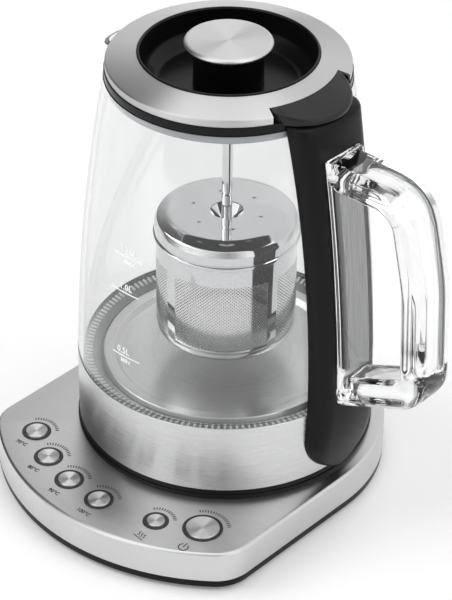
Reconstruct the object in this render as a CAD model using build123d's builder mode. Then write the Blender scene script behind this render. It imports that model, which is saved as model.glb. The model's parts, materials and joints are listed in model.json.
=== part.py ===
"""Automatic tea maker: a cordless glass jug with a lift-up tea basket on a heated base.

Frame: millimetres, +Z up, origin on the jug's upright axis at table level. The handle
points along +X, the spout along -X and the row of buttons faces -Y.
"""
from build123d import *
from math import asin, atan2, cos, degrees, hypot, radians, sin, sqrt
import os

# ---------------------------------------------------------------- driving dimensions
# Base unit
FOOT_Z = 2.0                # rubber feet stand this far below the tray
SHELL_Z0 = 4.3              # lower edge of the steel cover
BASE_TOP = 22.0             # flat top of the steel cover
BASE_HALF_WIDTH = 80.0      # side walls, and the radius of the round back
BASE_FRONT_R = 114.0        # front wall, struck about the jug axis
BASE_CORNER_R = 20.0        # the two front corners
BASE_EDGE_R = 3.5           # rolled edge round the top
SHEET = 1.0                 # steel sheet of the base cover
SEAT_R = 73.2               # black ring that the jug stands on
SEAT_TOP = 24.2
SEAT_HOLE_R = 62.0          # opening in the steel cover below the jug
TURRET_R = 17.0             # cordless connector on the base
TURRET_TOP = 34.0

# Buttons: (name, angle from +X, bezel radius, cap radius)
BUTTON_CIRCLE_R = 95.3
BUTTONS = [
    ("button_70c", -125.0, 7.2, 5.3),
    ("button_80c", -112.1, 7.2, 5.3),
    ("button_90c", -99.6, 7.2, 5.3),
    ("button_100c", -86.8, 7.2, 5.3),
    ("button_keep_warm", -67.7, 6.3, 4.3),
    ("button_start", -54.0, 9.7, 7.9),
]
BUTTON_TRAVEL = 0.8
BUTTON_GAP = 0.3            # cap to bezel, all round
BUTTON_PROUD = 0.9          # cap above the steel top
BOARD_TOP = 10.6            # control board that carries the switches
SWITCH_TOP = 15.0           # top of a switch's plunger

# Jug
BAND_R = 72.6               # steel heater housing
BAND_TOP = 63.5
BAND_SHEET = 0.8
GLASS_R = 72.4              # glass, just above the steel
GLASS_RIM_R = 57.5
GLASS_RIM_Z = 213.4
GLASS_BULGE = 3.0           # how far the glass wall swells beyond a straight cone
GLASS_WALL = 2.4
GLASS_FOOT_Z = 59.9         # end of the ground neck inside the steel band
SPOUT_REACH = 73.0          # tip of the spout from the axis
SPOUT_R = 16.5              # half its width at the rim
SPOUT_FOOT_Z = 174.0        # where the spout grows out of the wall
SPOUT_TIP_Z = 206.5

# Heater
PLATE_Z = 58.6              # top of the heating plate
PLATE_SHEET = 1.2
PLATE_R = 60.6              # raised edge of the plate
FLANGE_Z = 57.4             # plate flange under the glass seal
SEAL_RIBS = 90

# Handle
SPINE_TOP = 215.6
SPINE_GAP = 0.25            # spine to glass, taken up by adhesive
GRIP_WIDTH = 23.0
GRIP_DEPTH = 15.0
GRIP_EDGE_R = 5.5
PLATE_HALF_WIDTH = 13.0     # clear back plate of the grip
INSERT_HALF_WIDTH = 9.5
SPINE_EDGE_R = 3.0
SPINE_TOE_Z = 27.3          # rounded lower end, just above the base
HANDLE_SCREW_Z = (38.0, 50.0)

# Lid
LID_REST_Z = 213.5          # lid flange on the glass rim
LID_FLANGE_R = 57.2
LID_RING_R = 56.7
LID_RING_Z = 221.3          # outer edge of the steel ring
LID_RIM_R = 41.9            # raised black rim of the dish
LID_RIM_Z = 225.7
DISH_FLOOR = 209.8
PLUG_R = 54.2
PLUG_Z = 203.5
NOTCH_R = 51.0              # cut-out of the steel ring over the handle
NOTCH_HALF_ANGLE = 27.5

# Infuser
ROD_R = 2.5
ROD_GROOVE_Z = 149.6        # snaps into the lid bush when the basket is raised
ROD_END_Z = 129.5
KNOB_R = 20.9
KNOB_TOP = 230.8
BOSS_R = 16.5
CAP_TOP = 139.6
CAP_R = 35.2
CAP_BOTTOM = 127.1
BASKET_R = 34.0
BASKET_WALL = 0.7
BASKET_FLOOR = 73.2
NECK_TOP = 134.0
WINDOW_Z0, WINDOW_Z1 = 83.4, 117.4
WINDOW_ANGLE = 80.0
WINDOW_START = -53.0        # middle of the first window


# ---------------------------------------------------------------- helpers
def save(piece, name):
    """Label a finished piece and write it."""
    piece.label = name
    export_step(piece, f"parts/{name}.step")


def polar(radius, angle):
    return (radius * cos(radians(angle)), radius * sin(radians(angle)))


class WallArc:
    """A wall profile in the R-Z plane: one arc through two ends, swelling outwards."""

    def __init__(self, top, bottom, swell):
        chord = hypot(top[0] - bottom[0], top[1] - bottom[1])
        self.radius = chord ** 2 / (8 * swell) + swell / 2
        nx, nz = (top[1] - bottom[1]) / chord, (bottom[0] - top[0]) / chord
        mid = ((top[0] + bottom[0]) / 2, (top[1] + bottom[1]) / 2)
        self.cx = mid[0] + nx * (swell - self.radius)
        self.cz = mid[1] + nz * (swell - self.radius)

    def r_at(self, z, offset=0.0):
        return self.cx + sqrt((self.radius + offset) ** 2 - (z - self.cz) ** 2)

    def downwards(self, z):
        """Direction of the wall at a height, going down."""
        return (z - self.cz, self.cx - self.r_at(z))

    def points(self, z0, z1, offset=0.0):
        """Start, middle and end of the arc between two heights."""
        return [(self.r_at(z, offset), z) for z in (z0, (z0 + z1) / 2, z1)]


GLASS = WallArc((GLASS_RIM_R, GLASS_RIM_Z), (GLASS_R, BAND_TOP), GLASS_BULGE)
SPINE = WallArc((66.6, SPINE_TOP), (82.2, 66.0), GLASS_BULGE)


def base_outline(inset=0.0):
    """Plan of the base: round back, straight sides and a wide round front."""
    half, front = BASE_HALF_WIDTH - inset, BASE_FRONT_R - inset
    with BuildSketch() as plan:
        Circle(front)
        Rectangle(2 * half, front, align=(Align.CENTER, Align.MAX), mode=Mode.INTERSECT)
        fillet(plan.vertices().group_by(Axis.Y)[0], BASE_CORNER_R - inset)
        Circle(half)
    return plan.sketch


# ---------------------------------------------------------------- base unit
SCREW_SPOTS = [polar(68.0, a) for a in (58, 122, -150, -30)] + [(0.0, -104.0)]
FOOT_SPOTS = [(-58.0, -74.0), (58.0, -74.0), (-50.0, 46.0), (50.0, 46.0), (0.0, 0.0)]
FOOT_R = 7.0


def rolled_slab(inset):
    """The base's plan raised to a slab whose top edge is rolled over."""
    outline = base_outline(inset)
    with BuildPart() as slab:
        with BuildSketch(Plane.XY.offset(SHELL_Z0)):
            add(outline)
        extrude(amount=BASE_TOP - inset - SHELL_Z0)
        fillet(slab.faces().sort_by(Axis.Z)[-1].edges(), BASE_EDGE_R - inset)
    return slab.part


def make_base_shell():
    """Pressed steel cover with a rolled top edge, button holes and the jug opening."""
    outside, inside = rolled_slab(0), rolled_slab(SHEET)
    with BuildPart() as base_shell:
        add(outside)
        add(inside, mode=Mode.SUBTRACT)
        with BuildSketch(Plane.XY.offset(BASE_TOP)):
            Circle(SEAT_HOLE_R)
            for _, angle, bezel_r, _ in BUTTONS:
                with Locations(polar(BUTTON_CIRCLE_R, angle)):
                    Circle(bezel_r - 0.6)
        extrude(amount=-2 * SHEET, mode=Mode.SUBTRACT)
        # U-shaped slot for the cord grommet, in the back wall
        with BuildSketch(Plane.XZ.offset(-BASE_HALF_WIDTH - 1)):
            with Locations((0, SHELL_Z0)):
                SlotCenterToCenter(4.0, 9.0, rotation=90)
        extrude(amount=4.0, mode=Mode.SUBTRACT)
    save(base_shell.part, "base_shell")


def make_base_tray():
    """Black moulded floor with an inner wall, screw bosses, vents and foot pockets."""
    floor, wall_out, wall_in = [base_outline(inset) for inset in (0.6, SHEET + 0.2, SHEET + 2.2)]
    with BuildPart() as base_tray:
        with BuildSketch(Plane.XY.offset(FOOT_Z)):
            add(floor)
        extrude(amount=SHELL_Z0 - FOOT_Z)
        chamfer(base_tray.faces().sort_by(Axis.Z)[0].edges(), 0.8)
        with BuildSketch(Plane.XY.offset(SHELL_Z0)):
            add(wall_out)
            add(wall_in, mode=Mode.SUBTRACT)
        extrude(amount=8.0)
        # screw bosses, board posts and the socket that holds the connector
        with BuildSketch(Plane.XY.offset(SHELL_Z0)):
            with Locations(*SCREW_SPOTS):
                Circle(4.0)
        extrude(amount=10.0)
        with BuildSketch(Plane.XY.offset(SHELL_Z0)):
            with Locations(*[polar(95.3, a) for a in (-131, -106, -78, -47)]):
                Circle(2.5)
            with Locations((-22, 37), (22, 37), (-22, 59), (22, 59)):
                Circle(2.5)
        extrude(amount=9.0 - SHELL_Z0)
        with BuildSketch(Plane.XY.offset(SHELL_Z0)):
            Circle(23.0)
            Circle(21.0, mode=Mode.SUBTRACT)
        extrude(amount=7.7)
        with Locations(*[(x, y, FOOT_Z) for x, y in SCREW_SPOTS]):
            with Locations(Rotation(180, 0, 0)):
                CounterBoreHole(1.7, 3.2, 5.0, depth=14.0)
        with BuildSketch(Plane.XY.offset(FOOT_Z)):
            with Locations(*FOOT_SPOTS):
                Circle(FOOT_R)
        extrude(amount=1.0, mode=Mode.SUBTRACT)
        # cooling slots and two drain holes beside the connector's socket
        with BuildSketch(Plane.XY.offset(FOOT_Z)):
            with GridLocations(0, 8.0, 1, 5):
                with Locations((-42, 0), (42, 0)):
                    SlotOverall(22.0, 3.0)
            with Locations((0, -28), (0, 28)):
                Circle(3.0)
        extrude(amount=SHELL_Z0 - FOOT_Z, mode=Mode.SUBTRACT)
        with BuildSketch(Plane.XZ.offset(-BASE_HALF_WIDTH - 1)):
            with Locations((0, SHELL_Z0)):
                SlotCenterToCenter(4.0, 9.0, rotation=90)
        extrude(amount=7.5, mode=Mode.SUBTRACT)
    save(base_tray.part, "base_tray")


def make_cord_grommet():
    """Rubber grommet in the back wall, where the mains cord would leave the base."""
    wall = BASE_HALF_WIDTH
    with BuildPart() as cord_grommet:
        with BuildSketch(Plane.XZ.offset(-wall - 1.5)):
            with Locations((0, SHELL_Z0)):
                SlotCenterToCenter(3.4, 8.8, rotation=90)
        extrude(amount=7.5)
        with BuildSketch(Plane.XZ.offset(-wall - 1.5)):
            with Locations((0, SHELL_Z0 + 1.5)):
                SlotCenterToCenter(3.0, 12.0, rotation=90)
        extrude(amount=1.2)
        with Locations(Plane((0, wall + 2, SHELL_Z0 + 1.5), z_dir=(0, 1, 0))):
            Hole(3.1, depth=20.0)
        with BuildSketch(Plane.XY.offset(FOOT_Z - 6)):
            with Locations((0, wall)):
                Rectangle(30, 30)
        extrude(amount=6.4, mode=Mode.SUBTRACT)
    save(cord_grommet.part, "cord_grommet")


def make_rubber_feet():
    with BuildPart() as rubber_feet:
        with BuildSketch():
            with Locations(*FOOT_SPOTS):
                Circle(FOOT_R - 0.6)
        extrude(amount=FOOT_Z + 1.0)
        fillet(rubber_feet.faces().group_by(Axis.Z)[0].edges(), 0.8)
    save(rubber_feet.part, "rubber_feet")


def make_base_screws():
    """Pan-head screws, seated in the tray's counterbores."""
    head_z = FOOT_Z + 5.0
    with BuildPart() as base_screws:
        with BuildSketch(Plane.XY.offset(head_z - 2.2)):
            with Locations(*SCREW_SPOTS):
                Circle(2.9)
        extrude(amount=2.2)
        with BuildSketch(Plane.XY.offset(head_z)):
            with Locations(*SCREW_SPOTS):
                Circle(1.5)
        extrude(amount=6.5)
        with BuildSketch(Plane.XY.offset(head_z - 2.2)):
            with Locations(*SCREW_SPOTS):
                Rectangle(3.4, 0.7)
                Rectangle(0.7, 3.4)
        extrude(amount=1.2, mode=Mode.SUBTRACT)
    save(base_screws.part, "base_screws")


def make_seat_plate():
    """Black dish let into the cover: the jug stands on its rim."""
    with BuildPart() as seat_plate:
        with BuildSketch(Plane.XZ):
            with BuildLine():
                Polyline((21.0, 21.0), (SEAT_HOLE_R - 3, 21.0), (SEAT_HOLE_R - 3, 16.0),
                         (SEAT_HOLE_R - 0.3, 16.0), (SEAT_HOLE_R - 0.3, BASE_TOP),
                         (SEAT_R, BASE_TOP), (SEAT_R, SEAT_TOP - 0.5), (SEAT_R - 0.5, SEAT_TOP),
                         (66.5, SEAT_TOP), (65.3, BASE_TOP + 0.9), (24.5, BASE_TOP + 0.9),
                         (23.0, SEAT_TOP - 0.4), (21.0, SEAT_TOP - 0.4), close=True)
            make_face()
        revolve(axis=Axis.Z)
    save(seat_plate.part, "seat_plate")


def make_base_connector():
    """Round cordless connector: a turret with contact wells, usable at any angle, on its socket."""
    with BuildPart() as connector_socket:
        with BuildSketch(Plane.XY.offset(SHELL_Z0)):
            Circle(20.6)
            Circle(2.6, mode=Mode.SUBTRACT)
        extrude(amount=BASE_TOP - SHELL_Z0)
    save(connector_socket.part, "connector_socket")
    with BuildPart() as base_connector:
        with BuildSketch(Plane.XZ):
            with BuildLine():
                Polyline((2.6, BASE_TOP), (TURRET_R, BASE_TOP), (TURRET_R, TURRET_TOP - 1),
                         (TURRET_R - 1, TURRET_TOP), (14.0, TURRET_TOP), (14.0, TURRET_TOP - 5),
                         (11.0, TURRET_TOP - 5), (11.0, TURRET_TOP), (3.6, TURRET_TOP),
                         (2.6, TURRET_TOP - 1), close=True)
            make_face()
        revolve(axis=Axis.Z)
    save(base_connector.part, "base_connector")
    # sprung brass contacts: a ring in the well and a sleeve in the centre hole
    with BuildPart() as base_contacts:
        with BuildSketch(Plane.XY.offset(TURRET_TOP - 5)):
            Circle(12.8)
            Circle(12.2, mode=Mode.SUBTRACT)
        extrude(amount=3.0)
        with BuildSketch(Plane.XY.offset(SHELL_Z0)):
            Circle(2.6)
            Circle(1.5, mode=Mode.SUBTRACT)
        extrude(amount=TURRET_TOP - 3 - SHELL_Z0)
    save(base_contacts.part, "base_contacts")


def make_control_board():
    """Curved board below the buttons, with one push switch for each."""
    with BuildPart() as control_board:
        with BuildSketch(Plane.XY.offset(9.0)):
            with BuildLine():
                outer = CenterArc((0, 0), 103.5, -135, 91)
                inner = CenterArc((0, 0), 86.0, -135, 91)
                Line(outer @ 0, inner @ 0)
                Line(outer @ 1, inner @ 1)
            make_face()
            with Locations(SCREW_SPOTS[-1]):
                Circle(4.6, mode=Mode.SUBTRACT)
        extrude(amount=BOARD_TOP - 9.0)
    save(control_board.part, "control_board")
    with BuildPart() as push_switches:
        for _, angle, _, _ in BUTTONS:
            spot = polar(BUTTON_CIRCLE_R, angle)
            with BuildSketch(Plane.XY.offset(BOARD_TOP)):
                with Locations(Location((*spot, 0), (0, 0, angle))):
                    RectangleRounded(6.0, 6.0, 0.5)
            extrude(amount=SWITCH_TOP - BOARD_TOP - 1.0)
            with BuildSketch(Plane.XY.offset(SWITCH_TOP - 1.0)):
                with Locations(spot):
                    Circle(1.7)
            extrude(amount=1.0)
    save(push_switches.part, "push_switches")


def make_power_board():
    """Board with the relay that switches the heater and the low-voltage supply."""
    with BuildPart() as power_board:
        with BuildSketch(Plane.XY.offset(9.0)):
            with Locations((0, 48)):
                Rectangle(54, 30)
        extrude(amount=1.6)
    save(power_board.part, "power_board")
    with BuildPart() as power_relay:
        with Locations((-14, 49, BOARD_TOP)):
            Box(19, 15, 5.2, align=(Align.CENTER, Align.CENTER, Align.MIN))
        fillet(power_relay.edges().filter_by(Axis.Z), 0.8)
    save(power_relay.part, "power_relay")
    with BuildPart() as supply_parts:
        with Locations((10, 53, BOARD_TOP)):
            Box(12, 12, 5.0, align=(Align.CENTER, Align.CENTER, Align.MIN))
        with BuildSketch(Plane.XY.offset(BOARD_TOP)):
            with Locations((10, 40), (19, 40)):
                Circle(3.0)
        extrude(amount=5.0)
    save(supply_parts.part, "supply_parts")


def make_button_bezels():
    """Dark rings let into the steel, each a guide for its button."""
    with BuildPart() as button_bezels:
        for _, angle, bezel_r, cap_r in BUTTONS:
            spot = polar(BUTTON_CIRCLE_R, angle)
            bore_r = cap_r + BUTTON_GAP
            with BuildSketch(Plane.XY.offset(18.0)):
                with Locations(spot):
                    Circle(bezel_r - 0.75)
                    Circle(bore_r, mode=Mode.SUBTRACT)
            extrude(amount=BASE_TOP - 18.0)
            with BuildSketch(Plane.XY.offset(BASE_TOP)):
                with Locations(spot):
                    Circle(bezel_r)
                    Circle(bore_r, mode=Mode.SUBTRACT)
            extrude(amount=0.4)
    save(button_bezels.part, "button_bezels")


def make_button(name, angle, cap_r):
    """Spun metal cap on a plunger, kept in by a flange below the bezel."""
    x, y = polar(BUTTON_CIRCLE_R, angle)
    top = BASE_TOP + BUTTON_PROUD
    with BuildPart() as button:
        with BuildSketch(Plane.XZ):
            with BuildLine():
                Polyline((0, SWITCH_TOP + BUTTON_TRAVEL + 0.1), (2.4, SWITCH_TOP + BUTTON_TRAVEL + 0.1),
                         (2.4, 17.0), (cap_r + 0.9, 17.0), (cap_r + 0.9, 18.0), (cap_r, 18.0),
                         (cap_r, top - 0.5), (cap_r - 0.4, top - 0.1), (0, top - 0.35), close=True)
            make_face()
        revolve(axis=Axis.Z)
    button.part.position = (x, y, 0)
    save(button.part, name)


# ---------------------------------------------------------------- heater housing of the jug
PILLAR_CIRCLE_R = 65.5
COVER_HEAD_Z = 28.4          # seat of the cover's screw heads, inside the pillars


def make_jug_bottom_cover():
    """Black moulding that closes the jug from below and rests on the base."""
    with BuildPart() as jug_bottom_cover:
        with BuildSketch(Plane.XZ):
            with BuildLine():
                Polyline((25.0, SEAT_TOP + 1.2), (66.5, SEAT_TOP + 1.2), (67.5, SEAT_TOP),
                         (BAND_R - 0.4, SEAT_TOP), (BAND_R + 0.2, SEAT_TOP + 0.6), (BAND_R + 0.2, 27.0),
                         (71.6, 27.0), (71.6, 33.0), (69.8, 33.0), (69.8, SEAT_TOP + 3.0),
                         (27.0, SEAT_TOP + 3.0), (27.0, 36.0), (25.0, 36.0), close=True)
            make_face()
        revolve(axis=Axis.Z)
        # pillars that clamp the heating plate's flange, with a long screw in each
        with BuildSketch(Plane.XY.offset(SEAT_TOP + 1.2)):
            with PolarLocations(PILLAR_CIRCLE_R, 3, start_angle=60):
                Circle(3.6)
        extrude(amount=FLANGE_Z - PLATE_SHEET - SEAT_TOP - 1.2)
        with BuildSketch(Plane.XY.offset(SEAT_TOP + 1.2)):
            with PolarLocations(PILLAR_CIRCLE_R, 3, start_angle=60):
                Circle(1.35)
        extrude(amount=40.0, mode=Mode.SUBTRACT)
        with BuildSketch(Plane.XY.offset(SEAT_TOP + 1.2)):
            with PolarLocations(PILLAR_CIRCLE_R, 3, start_angle=60):
                Circle(2.7)
        extrude(amount=COVER_HEAD_Z - SEAT_TOP - 1.2, mode=Mode.SUBTRACT)
    save(jug_bottom_cover.part, "jug_bottom_cover")
    with BuildPart() as cover_screws:
        with BuildSketch(Plane.XY.offset(COVER_HEAD_Z - 1.8)):
            with PolarLocations(PILLAR_CIRCLE_R, 3, start_angle=60):
                Circle(2.5)
        extrude(amount=1.8)
        with BuildSketch(Plane.XY.offset(COVER_HEAD_Z)):
            with PolarLocations(PILLAR_CIRCLE_R, 3, start_angle=60):
                Circle(1.25)
        extrude(amount=FLANGE_Z - PLATE_SHEET - COVER_HEAD_Z)
    save(cover_screws.part, "cover_screws")


def make_jug_connector():
    """The jug's half of the cordless connector: a cup over the turret, with its brass contacts."""
    cup_z = TURRET_TOP + 0.6
    with BuildPart() as jug_connector:
        with BuildSketch(Plane.XZ):
            with BuildLine():
                Polyline((TURRET_R + 0.4, 26.0), (24.6, 26.0), (24.6, 39.0), (0, 39.0), (0, cup_z),
                         (TURRET_R + 0.4, cup_z), close=True)
            make_face()
        revolve(axis=Axis.Z)
    save(jug_connector.part, "jug_connector")
    # centre pin and the sleeve that dips into the turret's ring-shaped well
    with BuildPart() as jug_contacts:
        with BuildSketch(Plane.XZ):
            with BuildLine():
                Polyline((0, 28.0), (1.1, 29.0), (1.1, cup_z), (0, cup_z), close=True)
            make_face()
            with BuildLine():
                Polyline((13.15, 30.0), (13.6, 30.0), (13.6, cup_z), (13.15, cup_z), close=True)
            make_face()
        revolve(axis=Axis.Z)
    save(jug_contacts.part, "jug_contacts")


def make_heater_band():
    """Brushed steel tube between the glass and the base, with two handle screw holes."""
    with BuildPart() as heater_band:
        with BuildSketch(Plane.XZ):
            with BuildLine():
                Polyline((BAND_R - BAND_SHEET, 27.0), (BAND_R, 27.0), (BAND_R, BAND_TOP - 0.4),
                         (BAND_R - 0.3, BAND_TOP), (BAND_R - BAND_SHEET, BAND_TOP), close=True)
            make_face()
        revolve(axis=Axis.Z)
        with Locations(*[Plane((BAND_R + 1, 0, z), z_dir=(1, 0, 0)) for z in HANDLE_SCREW_Z]):
            Hole(1.8, depth=4.0)
    save(heater_band.part, "heater_band")


def make_heating_plate():
    """Steel floor of the jug: flat centre, raised ring and a flange below the seal."""
    t = PLATE_SHEET
    with BuildPart() as heating_plate:
        with BuildSketch(Plane.XZ):
            with BuildLine():
                Polyline((0, PLATE_Z), (54.4, PLATE_Z), (55.4, PLATE_Z + 0.8), (PLATE_R - 0.6, PLATE_Z + 0.8),
                         (PLATE_R, PLATE_Z + 0.4), (PLATE_R + 0.6, FLANGE_Z), (71.5, FLANGE_Z),
                         (71.5, FLANGE_Z - t), (PLATE_R - 0.6, FLANGE_Z - t),
                         (PLATE_R - 1.4, PLATE_Z + 0.8 - t), (56.0, PLATE_Z + 0.8 - t),
                         (55.0, PLATE_Z - t), (0, PLATE_Z - t), close=True)
            make_face()
        revolve(axis=Axis.Z)
    save(heating_plate.part, "heating_plate")


def make_heating_element():
    """Sheathed ring element brazed below the plate on an aluminium spreader."""
    under = PLATE_Z - PLATE_SHEET
    with BuildPart() as heat_spreader:
        with BuildSketch(Plane.XY.offset(under)):
            Circle(50.0)
            Circle(24.0, mode=Mode.SUBTRACT)
        extrude(amount=-2.0)
    save(heat_spreader.part, "heat_spreader")
    tube_r, ring_r, z = 3.3, 38.0, under - 2.0 - 3.3
    with BuildPart() as heating_element:
        with BuildLine():
            ring_path = CenterArc((0, 0, z), ring_r, 20, 320)
        with BuildSketch(Plane(ring_path @ 0, z_dir=ring_path % 0)):
            Circle(tube_r)
        sweep()
        # upright cold ends at the gap
        with BuildSketch(Plane.XY.offset(z)):
            with Locations(polar(ring_r, 20), polar(ring_r, -20)):
                Circle(tube_r)
        extrude(amount=-9.0)
        with BuildSketch(Plane.XY.offset(z - 9.0)):
            with Locations(polar(ring_r, 20), polar(ring_r, -20)):
                Circle(1.2)
        extrude(amount=-5.0)
    save(heating_element.part, "heating_element")


def make_temperature_parts():
    """Probe that reads the water temperature and the two-disc overheat cut-out."""
    under = PLATE_Z - PLATE_SHEET
    with BuildPart() as temperature_sensor:
        with BuildSketch(Plane.XY.offset(under)):
            Circle(4.0)
        extrude(amount=-9.0)
        with BuildSketch(Plane.XY.offset(under)):
            Circle(8.0)
        extrude(amount=-1.4)
    save(temperature_sensor.part, "temperature_sensor")
    with BuildPart() as overheat_cutout:
        with BuildSketch(Plane.XY.offset(under)):
            with Locations((-16, 0)):
                Circle(6.5)
        extrude(amount=-5.0)
        with BuildSketch(Plane.XY.offset(under - 5.0)):
            with Locations((-16, 4), (-16, -4)):
                Rectangle(5.0, 0.8)
        extrude(amount=-6.0)
    save(overheat_cutout.part, "overheat_cutout")


def make_glass_seal():
    """Silicone ring that carries the glass neck, with fine ribs round its inner slope."""
    r_in, r_top, r_lip = PLATE_R + 1.2, 65.2, 69.7
    slope = degrees(atan2(1.0, r_lip - r_top))
    with BuildPart() as glass_seal:
        with BuildSketch(Plane.XZ):
            with BuildLine():
                Polyline((r_in, FLANGE_Z), (71.5, FLANGE_Z), (71.5, GLASS_FOOT_Z), (r_lip, GLASS_FOOT_Z),
                         (r_lip, 62.2), (r_top, 61.2), (r_in, 59.2), close=True)
            make_face()
        revolve(axis=Axis.Z)
        rib_spot = ((r_top + r_lip) / 2, 61.7)
        for i in range(SEAL_RIBS):
            with Locations(Rotation(0, 0, 360 / SEAL_RIBS * i) * Pos(rib_spot[0], 0, rib_spot[1])
                           * Rotation(0, -slope, 0)):
                Box(3.8, 1.6, 0.9)
    save(glass_seal.part, "glass_seal")


# ---------------------------------------------------------------- glass
def glass_body(offset, z_bottom, z_top):
    """Solid of revolution inside the glass wall's outer arc, moved inwards by -offset."""
    with BuildPart() as body:
        with BuildSketch(Plane.XZ):
            with BuildLine():
                lower, middle, upper = GLASS.points(z_bottom, z_top, offset)
                ThreePointArc(lower, middle, upper)
                Polyline(upper, (0, z_top), (0, z_bottom), lower)
            make_face()
        revolve(axis=Axis.Z)
    return body.part


def spout_cone(inset):
    """Leaning half-round beak that widens from the wall up to the rim."""
    lean_top = SPOUT_REACH - SPOUT_R
    with BuildPart() as cone:
        with BuildSketch(Plane.XY.offset(SPOUT_FOOT_Z)):
            with Locations((-(GLASS.r_at(SPOUT_FOOT_Z) - 3.0), 0)):
                Circle(3.0 - inset)
        with BuildSketch(Plane.XY.offset(GLASS_RIM_Z)):
            with Locations((-lean_top, 0)):
                Circle(SPOUT_R - inset)
        loft()
    return cone.part


def make_glass_jug():
    """Swelling glass wall with a pulled spout and a ground neck for the seal."""
    outside, inside = glass_body(0, BAND_TOP, GLASS_RIM_Z), glass_body(-GLASS_WALL, BAND_TOP + 1, GLASS_RIM_Z)
    spout, spout_bore = spout_cone(0), spout_cone(GLASS_WALL * 0.9)
    with BuildPart() as glass_jug:
        add(outside)
        add(spout)
        with BuildSketch(Plane.XY.offset(GLASS_FOOT_Z)):
            Circle(71.5)
        extrude(amount=BAND_TOP - GLASS_FOOT_Z)
        add(inside, mode=Mode.SUBTRACT)
        add(spout_bore, mode=Mode.SUBTRACT)
        with BuildSketch(Plane.XY.offset(GLASS_FOOT_Z)):
            Circle(GLASS.r_at(BAND_TOP + 1.0, -GLASS_WALL))
        extrude(amount=BAND_TOP + 1.0 - GLASS_FOOT_Z, mode=Mode.SUBTRACT)
        # the rim falls away towards the tip of the spout
        with BuildSketch(Plane.XZ.offset(-40)):
            with BuildLine():
                Polyline((-GLASS_RIM_R - 0.2, GLASS_RIM_Z), (-SPOUT_REACH - 2, SPOUT_TIP_Z),
                         (-SPOUT_REACH - 2, GLASS_RIM_Z + 2), (-GLASS_RIM_R - 0.2, GLASS_RIM_Z + 2),
                         close=True)
            make_face()
        extrude(amount=80, mode=Mode.SUBTRACT)
    save(glass_jug.part, "glass_jug")


# ---------------------------------------------------------------- handle
GRIP_Z0, GRIP_Z1 = 72.0, 199.6
INSERT_Z0, INSERT_Z1 = 86.0, 183.0
PLATE_SUNK, PLATE_PROUD = 1.5, 2.2


def strip(inner, outer, z0, z1, half_width):
    """A strip that follows the spine's face between two offsets from it."""
    back, front = SPINE.points(z0, z1, inner), SPINE.points(z0, z1, outer)
    with BuildPart() as body:
        with BuildSketch(Plane.XZ):
            with BuildLine():
                ThreePointArc(*back)
                ThreePointArc(*front)
                Line(back[0], front[0])
                Line(back[2], front[2])
            make_face()
        extrude(amount=half_width, both=True)
    return body.part


def spine_front():
    """Block with the spine's outline seen from the handle side."""
    head, waist, foot = 26.0, 22.4, 21.4
    head_z = SPINE_TOP + 4
    with BuildPart() as block:
        with BuildSketch(Plane.YZ):
            with BuildLine():
                side = ThreePointArc((head, head_z), (waist, 140.0), (foot, SPINE_TOE_Z + foot))
                ThreePointArc(side @ 1, (0, SPINE_TOE_Z), (-foot, SPINE_TOE_Z + foot))
                ThreePointArc((-foot, SPINE_TOE_Z + foot), (-waist, 140.0), (-head, head_z))
                Line((-head, head_z), (head, head_z))
            make_face()
        extrude(amount=100)
    return block.part


def make_handle_spine():
    """Black backbone of the handle, hugging the glass from the lid down to the band."""
    front = spine_front()
    plate_pocket = strip(-PLATE_SUNK, 8.0, GRIP_Z0 - 0.1, GRIP_Z1 + 0.1, PLATE_HALF_WIDTH + 0.1)
    insert_pocket = strip(-PLATE_SUNK - 1.0, 0, INSERT_Z0, INSERT_Z1, INSERT_HALF_WIDTH)
    inner = GLASS.points(BAND_TOP, GLASS_RIM_Z, SPINE_GAP + 0.15)
    outer = SPINE.points(66.0, SPINE_TOP)
    toe = (75.4, SPINE_TOE_Z - 1.0)
    with BuildPart() as handle_spine:
        with BuildSketch(Plane.XZ):
            with BuildLine():
                ThreePointArc(*inner)
                Polyline(inner[2], (inner[2][0], SPINE_TOP), outer[2])
                ThreePointArc(*outer)
                TangentArc(outer[0], toe, tangent=SPINE.downwards(66.0))
                Polyline(toe, (BAND_R + SPINE_GAP, toe[1]), (BAND_R + SPINE_GAP, BAND_TOP), inner[0])
            make_face()
        revolve(axis=Axis.Z)
        add(front, mode=Mode.INTERSECT)
        rim = [e for e in handle_spine.edges().filter_by(GeomType.BSPLINE)
               if hypot(e.center().X, e.center().Y) > min(SPINE.r_at(e.center().Z) - 1, BAND_R + 3)]
        fillet(rim, SPINE_EDGE_R)
        add(plate_pocket, mode=Mode.SUBTRACT)
        add(insert_pocket, mode=Mode.SUBTRACT)
        # blind holes for the handle screws
        for z in HANDLE_SCREW_Z:
            with BuildSketch(Plane((BAND_R, 0, z), z_dir=(1, 0, 0))):
                Circle(1.2)
            extrude(amount=5.2, mode=Mode.SUBTRACT)
    save(handle_spine.part, "handle_spine")


def make_handle_insert():
    """Grey satin strip that shows through the clear grip's back plate."""
    save(strip(-PLATE_SUNK - 1.0, -PLATE_SUNK, INSERT_Z0, INSERT_Z1, INSERT_HALF_WIDTH), "handle_insert")


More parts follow.
